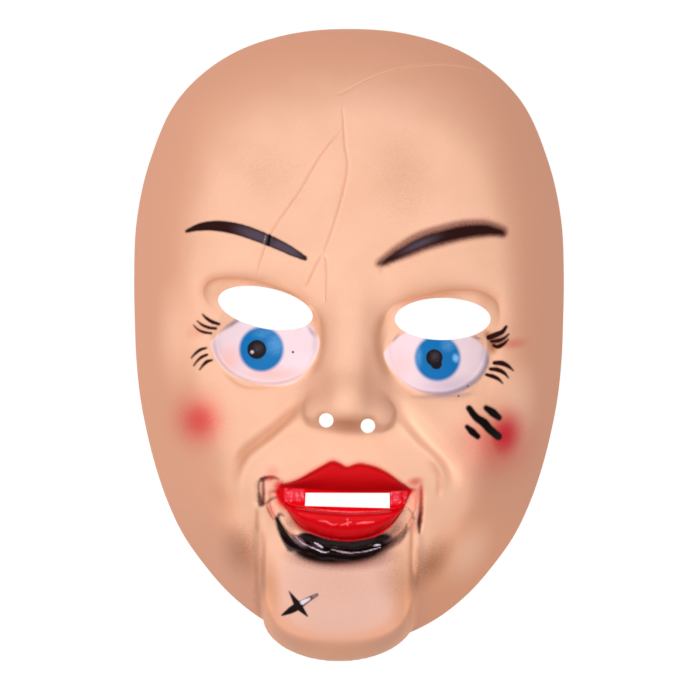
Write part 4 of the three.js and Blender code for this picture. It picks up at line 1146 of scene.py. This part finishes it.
# %% Bare sheet and coats
FLAT_SHINE = 0.08
skin, skin_tree, skin_shader = start_material("painted_pvc_skin", "dda78c", 0.5)
skin_shader.inputs["Specular IOR Level"].default_value = FLAT_SHINE
grain = lumps(skin_tree, 0.45, 1.0)
top = {"colour": clouded(skin_tree, 22.0, "d8a78c", "ddac93"), "rough": uneven(skin_tree, grain, 0.5, 0.6)}


def coat(cover, paint, gloss=None):
    """Lays paint over what is there. A gloss is the roughness that the coat dries to."""
    below = top["colour"]
    top["colour"] = add(skin_tree, "ShaderNodeMix", {0: cover, 6: below, 7: paint}, 2, data_type="RGBA")
    if gloss is not None:
        numbers = {0: cover, 2: top["rough"], 3: gloss}
        top["rough"] = add(skin_tree, "ShaderNodeMix", numbers, data_type="FLOAT")


def on(cover, *others):
    """Coverage inside other coverage."""
    for other in others:
        cover = add(skin_tree, "ShaderNodeMath", {0: cover, 1: other}, operation="MULTIPLY")
    return cover


def painted(name, edge=0.3, wobble=0.0, wobble_mm=2.0, inset=0.0):
    """Coverage of a brushed mark: crisp to within edge mm, and wandering by wobble mm as a brush does."""
    value = add(skin_tree, "ShaderNodeAttribute", output="Fac", attribute_name=name)
    if wobble:
        swing = {0: lumps(skin_tree, wobble_mm, 3.0), 1: 2 * wobble, 2: -wobble}
        wander = add(skin_tree, "ShaderNodeMath", swing, operation="MULTIPLY_ADD")
        value = add(skin_tree, "ShaderNodeMath", {0: value, 1: wander}, operation="ADD")
    return add(skin_tree, "ShaderNodeMapRange", {0: value, 1: inset - edge, 2: inset + edge}, **EASED)


def sprayed(name, coarse, droplets=grain):
    """Coverage of sprayed paint: where it is thin, it breaks up into droplets."""
    value = add(skin_tree, "ShaderNodeAttribute", output="Fac", attribute_name=name)
    rest = add(skin_tree, "ShaderNodeMath", {0: 1.0, 1: value}, operation="SUBTRACT")
    swing = {0: droplets, 1: 4.0 * coarse, 2: -2.0 * coarse}
    uneven_spray = add(skin_tree, "ShaderNodeMath", swing, operation="MULTIPLY_ADD")
    broken = on(uneven_spray, on(value, rest))
    return add(skin_tree, "ShaderNodeMath", {0: value, 1: broken}, operation="ADD", use_clamp=True)


# %% [markdown]
# The flesh comes first, all of it airbrushed flat acrylic and most of it painted light and shade: painted
# shade deeper where the sheet turns away and darker in the creases, painted light on the cheeks. The red of
# the cheeks goes over it last, so it stays clean.

# %% Flesh, soot and blush
fleck = add(skin_tree, "ShaderNodeMapRange", {0: grain, 1: 0.4, 2: 0.8, 4: 0.12}, **EASED)
coat(fleck, "c08468")
# Most of these sprays are painted light and shade: shade down the walls, in the hollows and in the creases,
# light on the cheeks and ridges, and a warm bounce light low on the right. The greyer one is a flesh tone on
# the jaw.
FLESH = [("painted_wall_shade", 0.15, "d7997c"), ("warm", 0.15, "e49d79"), ("pale", 0.3, "cba093"),
         ("light", 0.15, "f6c0a2"), ("painted_shade_mist", 0.3, "bf8460"), ("crease", 0.1, "b07350")]
for name, coarse, paint in FLESH:
    coat(sprayed(name, coarse), paint)
# Painted shade in the cracks, then a painted highlight beside each.
coat(on(painted("crack", 0.4), 0.28), "bd8265")
coat(on(painted("crack_highlight", 0.35), 0.45), "f6c4a8")
# These sprays hold painted light and shade too: painted bounce light on the foot of the chin, soot that is
# partly painted shade in the hollows, and painted shade beside the right lashes.
LATE_SPRAYS = [("foot", 0.2, "eba57c"), ("soot_and_hollow_shade", 0.8, "8a583f"), ("haze", 0.3, "cc4a44"), ("blush", 0.35, "cc1626"),
       ("shade_by_lashes", 0.3, "7a2e28")]
for name, coarse, paint in LATE_SPRAYS:
    coat(sprayed(name, coarse), paint)
print("sprayed coats of flesh and age:", len(FLESH), "and", len(LATE_SPRAYS))

# %% [markdown]
# The mouth is lacquer, so most of its coats are glossy. The black band under it is sprayed, with a brown
# haze at its edges, and the wet lights on it are painted as thin lines.

# %% Mouth corners and black band
coat(sprayed("strip_pink", 0.3), "dc6a62", 0.35)
coat(on(painted("mouth_red", 0.7, 0.3, 1.2), 0.9), "7c0c16", 0.3)
coat(sprayed("corner_red", 0.3), "b8141c", 0.4)
coat(sprayed("lip_mist", 0.3), "cc101c")
coat(sprayed("band_haze", 0.5), "6c322a")
coat(sprayed("black", 0.5), "140606", 0.15)
coat(sprayed("band_sheen", 0.9, lumps(skin_tree, 1.2)), "72585e")
coat(on(painted("band_glint", 0.3, 0.3, 0.8), 0.85), "e6dcec", 0.1)

# %% Lip lacquer
lip_cover = painted("lip", 0.7, 0.25, 4.0)
recess = on(painted("recess", 0.4), lip_cover)
recess_patch = on(painted("recess_pink", 0.5, 0.9, 1.3), recess)
patch_mottle = {0: lumps(skin_tree, 1.4, 3.0), 1: 0.5, 2: 0.65, 4: 0.7}
coat(lip_cover, "b60009", 0.6)
coat(on(painted("lower_lip", 0.4), lip_cover), "c2000c", 0.34)
coat(on(sprayed("lip_foot", 0.1), lip_cover), "da000e")
# Painted shade low on the upper lip.
coat(on(sprayed("upper_lip_shade", 0.1), lip_cover), "8e0003", 0.45)
coat(on(sprayed("lip_soot", 0.3), lip_cover), "2a0608")
coat(recess, "c8000a", 0.16)
coat(recess_patch, "d02c3c", 0.15)
coat(on(recess_patch, add(skin_tree, "ShaderNodeMapRange", patch_mottle, **EASED)), "e0707a")
coat(on(painted("lip_glint", 0.4, 0.35, 0.7), 0.7), "ee7078", 0.2)
coat(on(painted("mouth_shadow", 0.75, 0.35, 1.0), 0.85), "2a080a", 0.3)

# %% [markdown]
# The eyes are satin: a white with painted pink shade in its corners, a flat blue iris with lighter patches
# and a painted glint, and a pupil with one small painted glint. Brows, lashes, stitches and the cross are
# flat ink, laid on last.

# %% Eyes
white = painted("eye_white", 0.4)
iris = painted("iris", 0.95)
pupil = painted("pupil", 0.3, 0.1, 1.5)
coat(painted("lid_rim", 0.6), "e6c3ba", 0.4)
coat(white, "d8bfc6", 0.35)
# Painted pink shade at the lower edges of the whites.
coat(on(sprayed("pink_ball_edge_shade", 0.1), white), "dfa9a2")
coat(on(sprayed("ball_shade", 0.1), white), "ac98ae")
coat(sprayed("lid_shade", 0.2), "7d7080")
coat(iris, "00619e", 0.45)
# Lighter patches and a painted glint on the irises.
coat(on(sprayed("iris_patches_and_glint", 0.5, lumps(skin_tree, 0.9)), iris), "6fabd8")
coat(pupil, "0c0506", 0.5)
coat(on(sprayed("pupil_sheen", 1.4, lumps(skin_tree, 0.6)), pupil), "4c3c48")
coat(painted("glint", 0.5, 0.3, 0.8), "cdb6c2", 0.12)
coat(painted("speck", 0.2), "120808", 0.4)

# %% Brows and ink
brow = painted("brow", 0.5, 0.15, 1.2)
brow_core = painted("brow", 0.6, inset=0.5)
cross = painted("cross", 0.4)
coat(sprayed("brow_mist", 0.5), "6a3028")
coat(brow, "240706", 0.6)
# Painted sheen on the brows.
coat(on(sprayed("brow_sheen", 0.5, lumps(skin_tree, 0.6)), brow_core), "4c3e4a")
# A painted highlight, then painted shade, where the crack crosses the left brow.
coat(on(painted("brow_crack_highlight", 0.3, 0.4, 0.7), brow, 0.8), "a8948f")
coat(on(painted("brow_crack_shade", 0.3), brow), "030202")
coat(painted("lash", 0.45, 0.1, 1.0), "260504", 0.75)
coat(painted("stitch", 0.6, 0.12, 1.5), "060101", 0.75)
coat(cross, "120405", 0.5)
# Painted highlight on the cross.
coat(painted("cross_highlight", 0.5, 0.2, 1.0), "cfc0cc", 0.2)
coat(on(sprayed("cross_highlight_fade", 0.4), cross), "a0807c")
skin_tree.links.new(top["colour"], skin_shader.inputs["Base Color"])
skin_tree.links.new(top["rough"], skin_shader.inputs["Roughness"])
press_pores(skin_tree, skin_shader, 0.8, 0.12, 0.1)
print("nodes in the painted skin:", len(skin_tree.nodes))

# %% [markdown]
# Nobody sees the back when the mask is worn, so it stays unpainted: the sheet's own colour, a little rough
# from the mould.

# %% Bare PVC
bare, bare_tree, bare_shader = start_material("bare_pvc_back", "dfa98c", 0.55)
bare_tree.links.new(clouded(bare_tree, 15.0, "dba385", "e2b094"), bare_shader.inputs["Base Color"])
bare_tree.links.new(uneven(bare_tree, lumps(bare_tree, 1.0), 0.5, 0.62), bare_shader.inputs["Roughness"])
press_pores(bare_tree, bare_shader, 0.6, 0.25, 0.2)

# %% Dressing the shell
mask.data.materials.append(skin)
mask.data.materials.append(bare)
material_index = np.zeros(len(mask.data.polygons), int)
material_index[len(front_triangles):] = 1
mask.data.polygons.foreach_set("material_index", material_index)

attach(mask, "root")
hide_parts("mask_shell")

# %% [markdown]
# ## Table, light and camera
# The photograph looks straight down on the mask on a white ground, under large soft lights. Two panels
# stand over the crown and the chin and leave the middle free, so no broad lamp is mirrored in the face.
# One small lamp gives the lacquer its sparks. The camera stands far off, so the wide low face isn't drawn
# out by perspective.

# %% Ground and lights
FAR = 3.5
PHOTO_WIDTH = 0.28
TABLE_WIDTH = 6.0
UNDER_THE_RIM = -0.0001
MIDDLE_OF_MASK = Vector((0, 0, 0.04))
WORLD_LIGHT = 0.15
# Each lamp has a name, a place and a width in metres, and its watts.
LAMPS = [
    ("above", (0.0, 2.2, 3.3), 1.8, 24.0),
    ("below", (0.0, -2.2, 3.3), 1.8, 24.0),
    ("left", (-1.45, 0.1, 2.7), 1.5, 68.0),
    ("right", (1.6, 0.05, 2.7), 1.5, 38.0),
    ("key", (0.3, 0.4, 3.9), 0.18, 14.0),
]


def ground():
    """A light table: it shines evenly white, also through the holes, and lights the mask's sides."""
    bpy.ops.mesh.primitive_plane_add(size=TABLE_WIDTH, location=(0, 0, UNDER_THE_RIM))
    floor = bpy.context.object
    floor.name = "ground"
    material, tree, shader = start_material("white_light_table", "000000", 1.0)
    shader.inputs["Emission Color"].default_value = (1, 1, 1, 1)
    shader.inputs["Emission Strength"].default_value = 1.0
    floor.data.materials.append(material)
    return floor


def softbox(name, place, size, watts):
    """A square lamp that faces the mask."""
    light = bpy.data.lights.new(name, "AREA")
    light.shape = "SQUARE"
    light.size = size
    light.energy = watts
    lamp = bpy.data.objects.new(name, light)
    lamp.location = place
    lamp.rotation_euler = (MIDDLE_OF_MASK - Vector(place)).to_track_quat("-Z", "Y").to_euler()
    bpy.context.collection.objects.link(lamp)
    return lamp


ground()
for lamp in LAMPS:
    softbox(*lamp)
world = bpy.data.worlds.new("studio")
world.use_nodes = True
world.node_tree.nodes["Background"].inputs[0].default_value = (1, 1, 1, 1)
world.node_tree.nodes["Background"].inputs[1].default_value = WORLD_LIGHT
bpy.context.scene.world = world
bpy.context.scene.view_settings.view_transform = "Standard"
print("lamps:", ", ".join(lamp[0] for lamp in LAMPS))

# %% Camera
SENSOR_WIDTH = 36.0
camera_data = bpy.data.cameras.new("camera")
camera_data.sensor_width = SENSOR_WIDTH
camera_data.lens = SENSOR_WIDTH * FAR / PHOTO_WIDTH
camera_data.clip_end = 10.0
camera = bpy.data.objects.new("camera", camera_data)
camera.location = (0.0004, -0.002, FAR)
bpy.context.collection.objects.link(camera)
bpy.context.scene.camera = camera
print("lens, mm:", round(camera_data.lens))
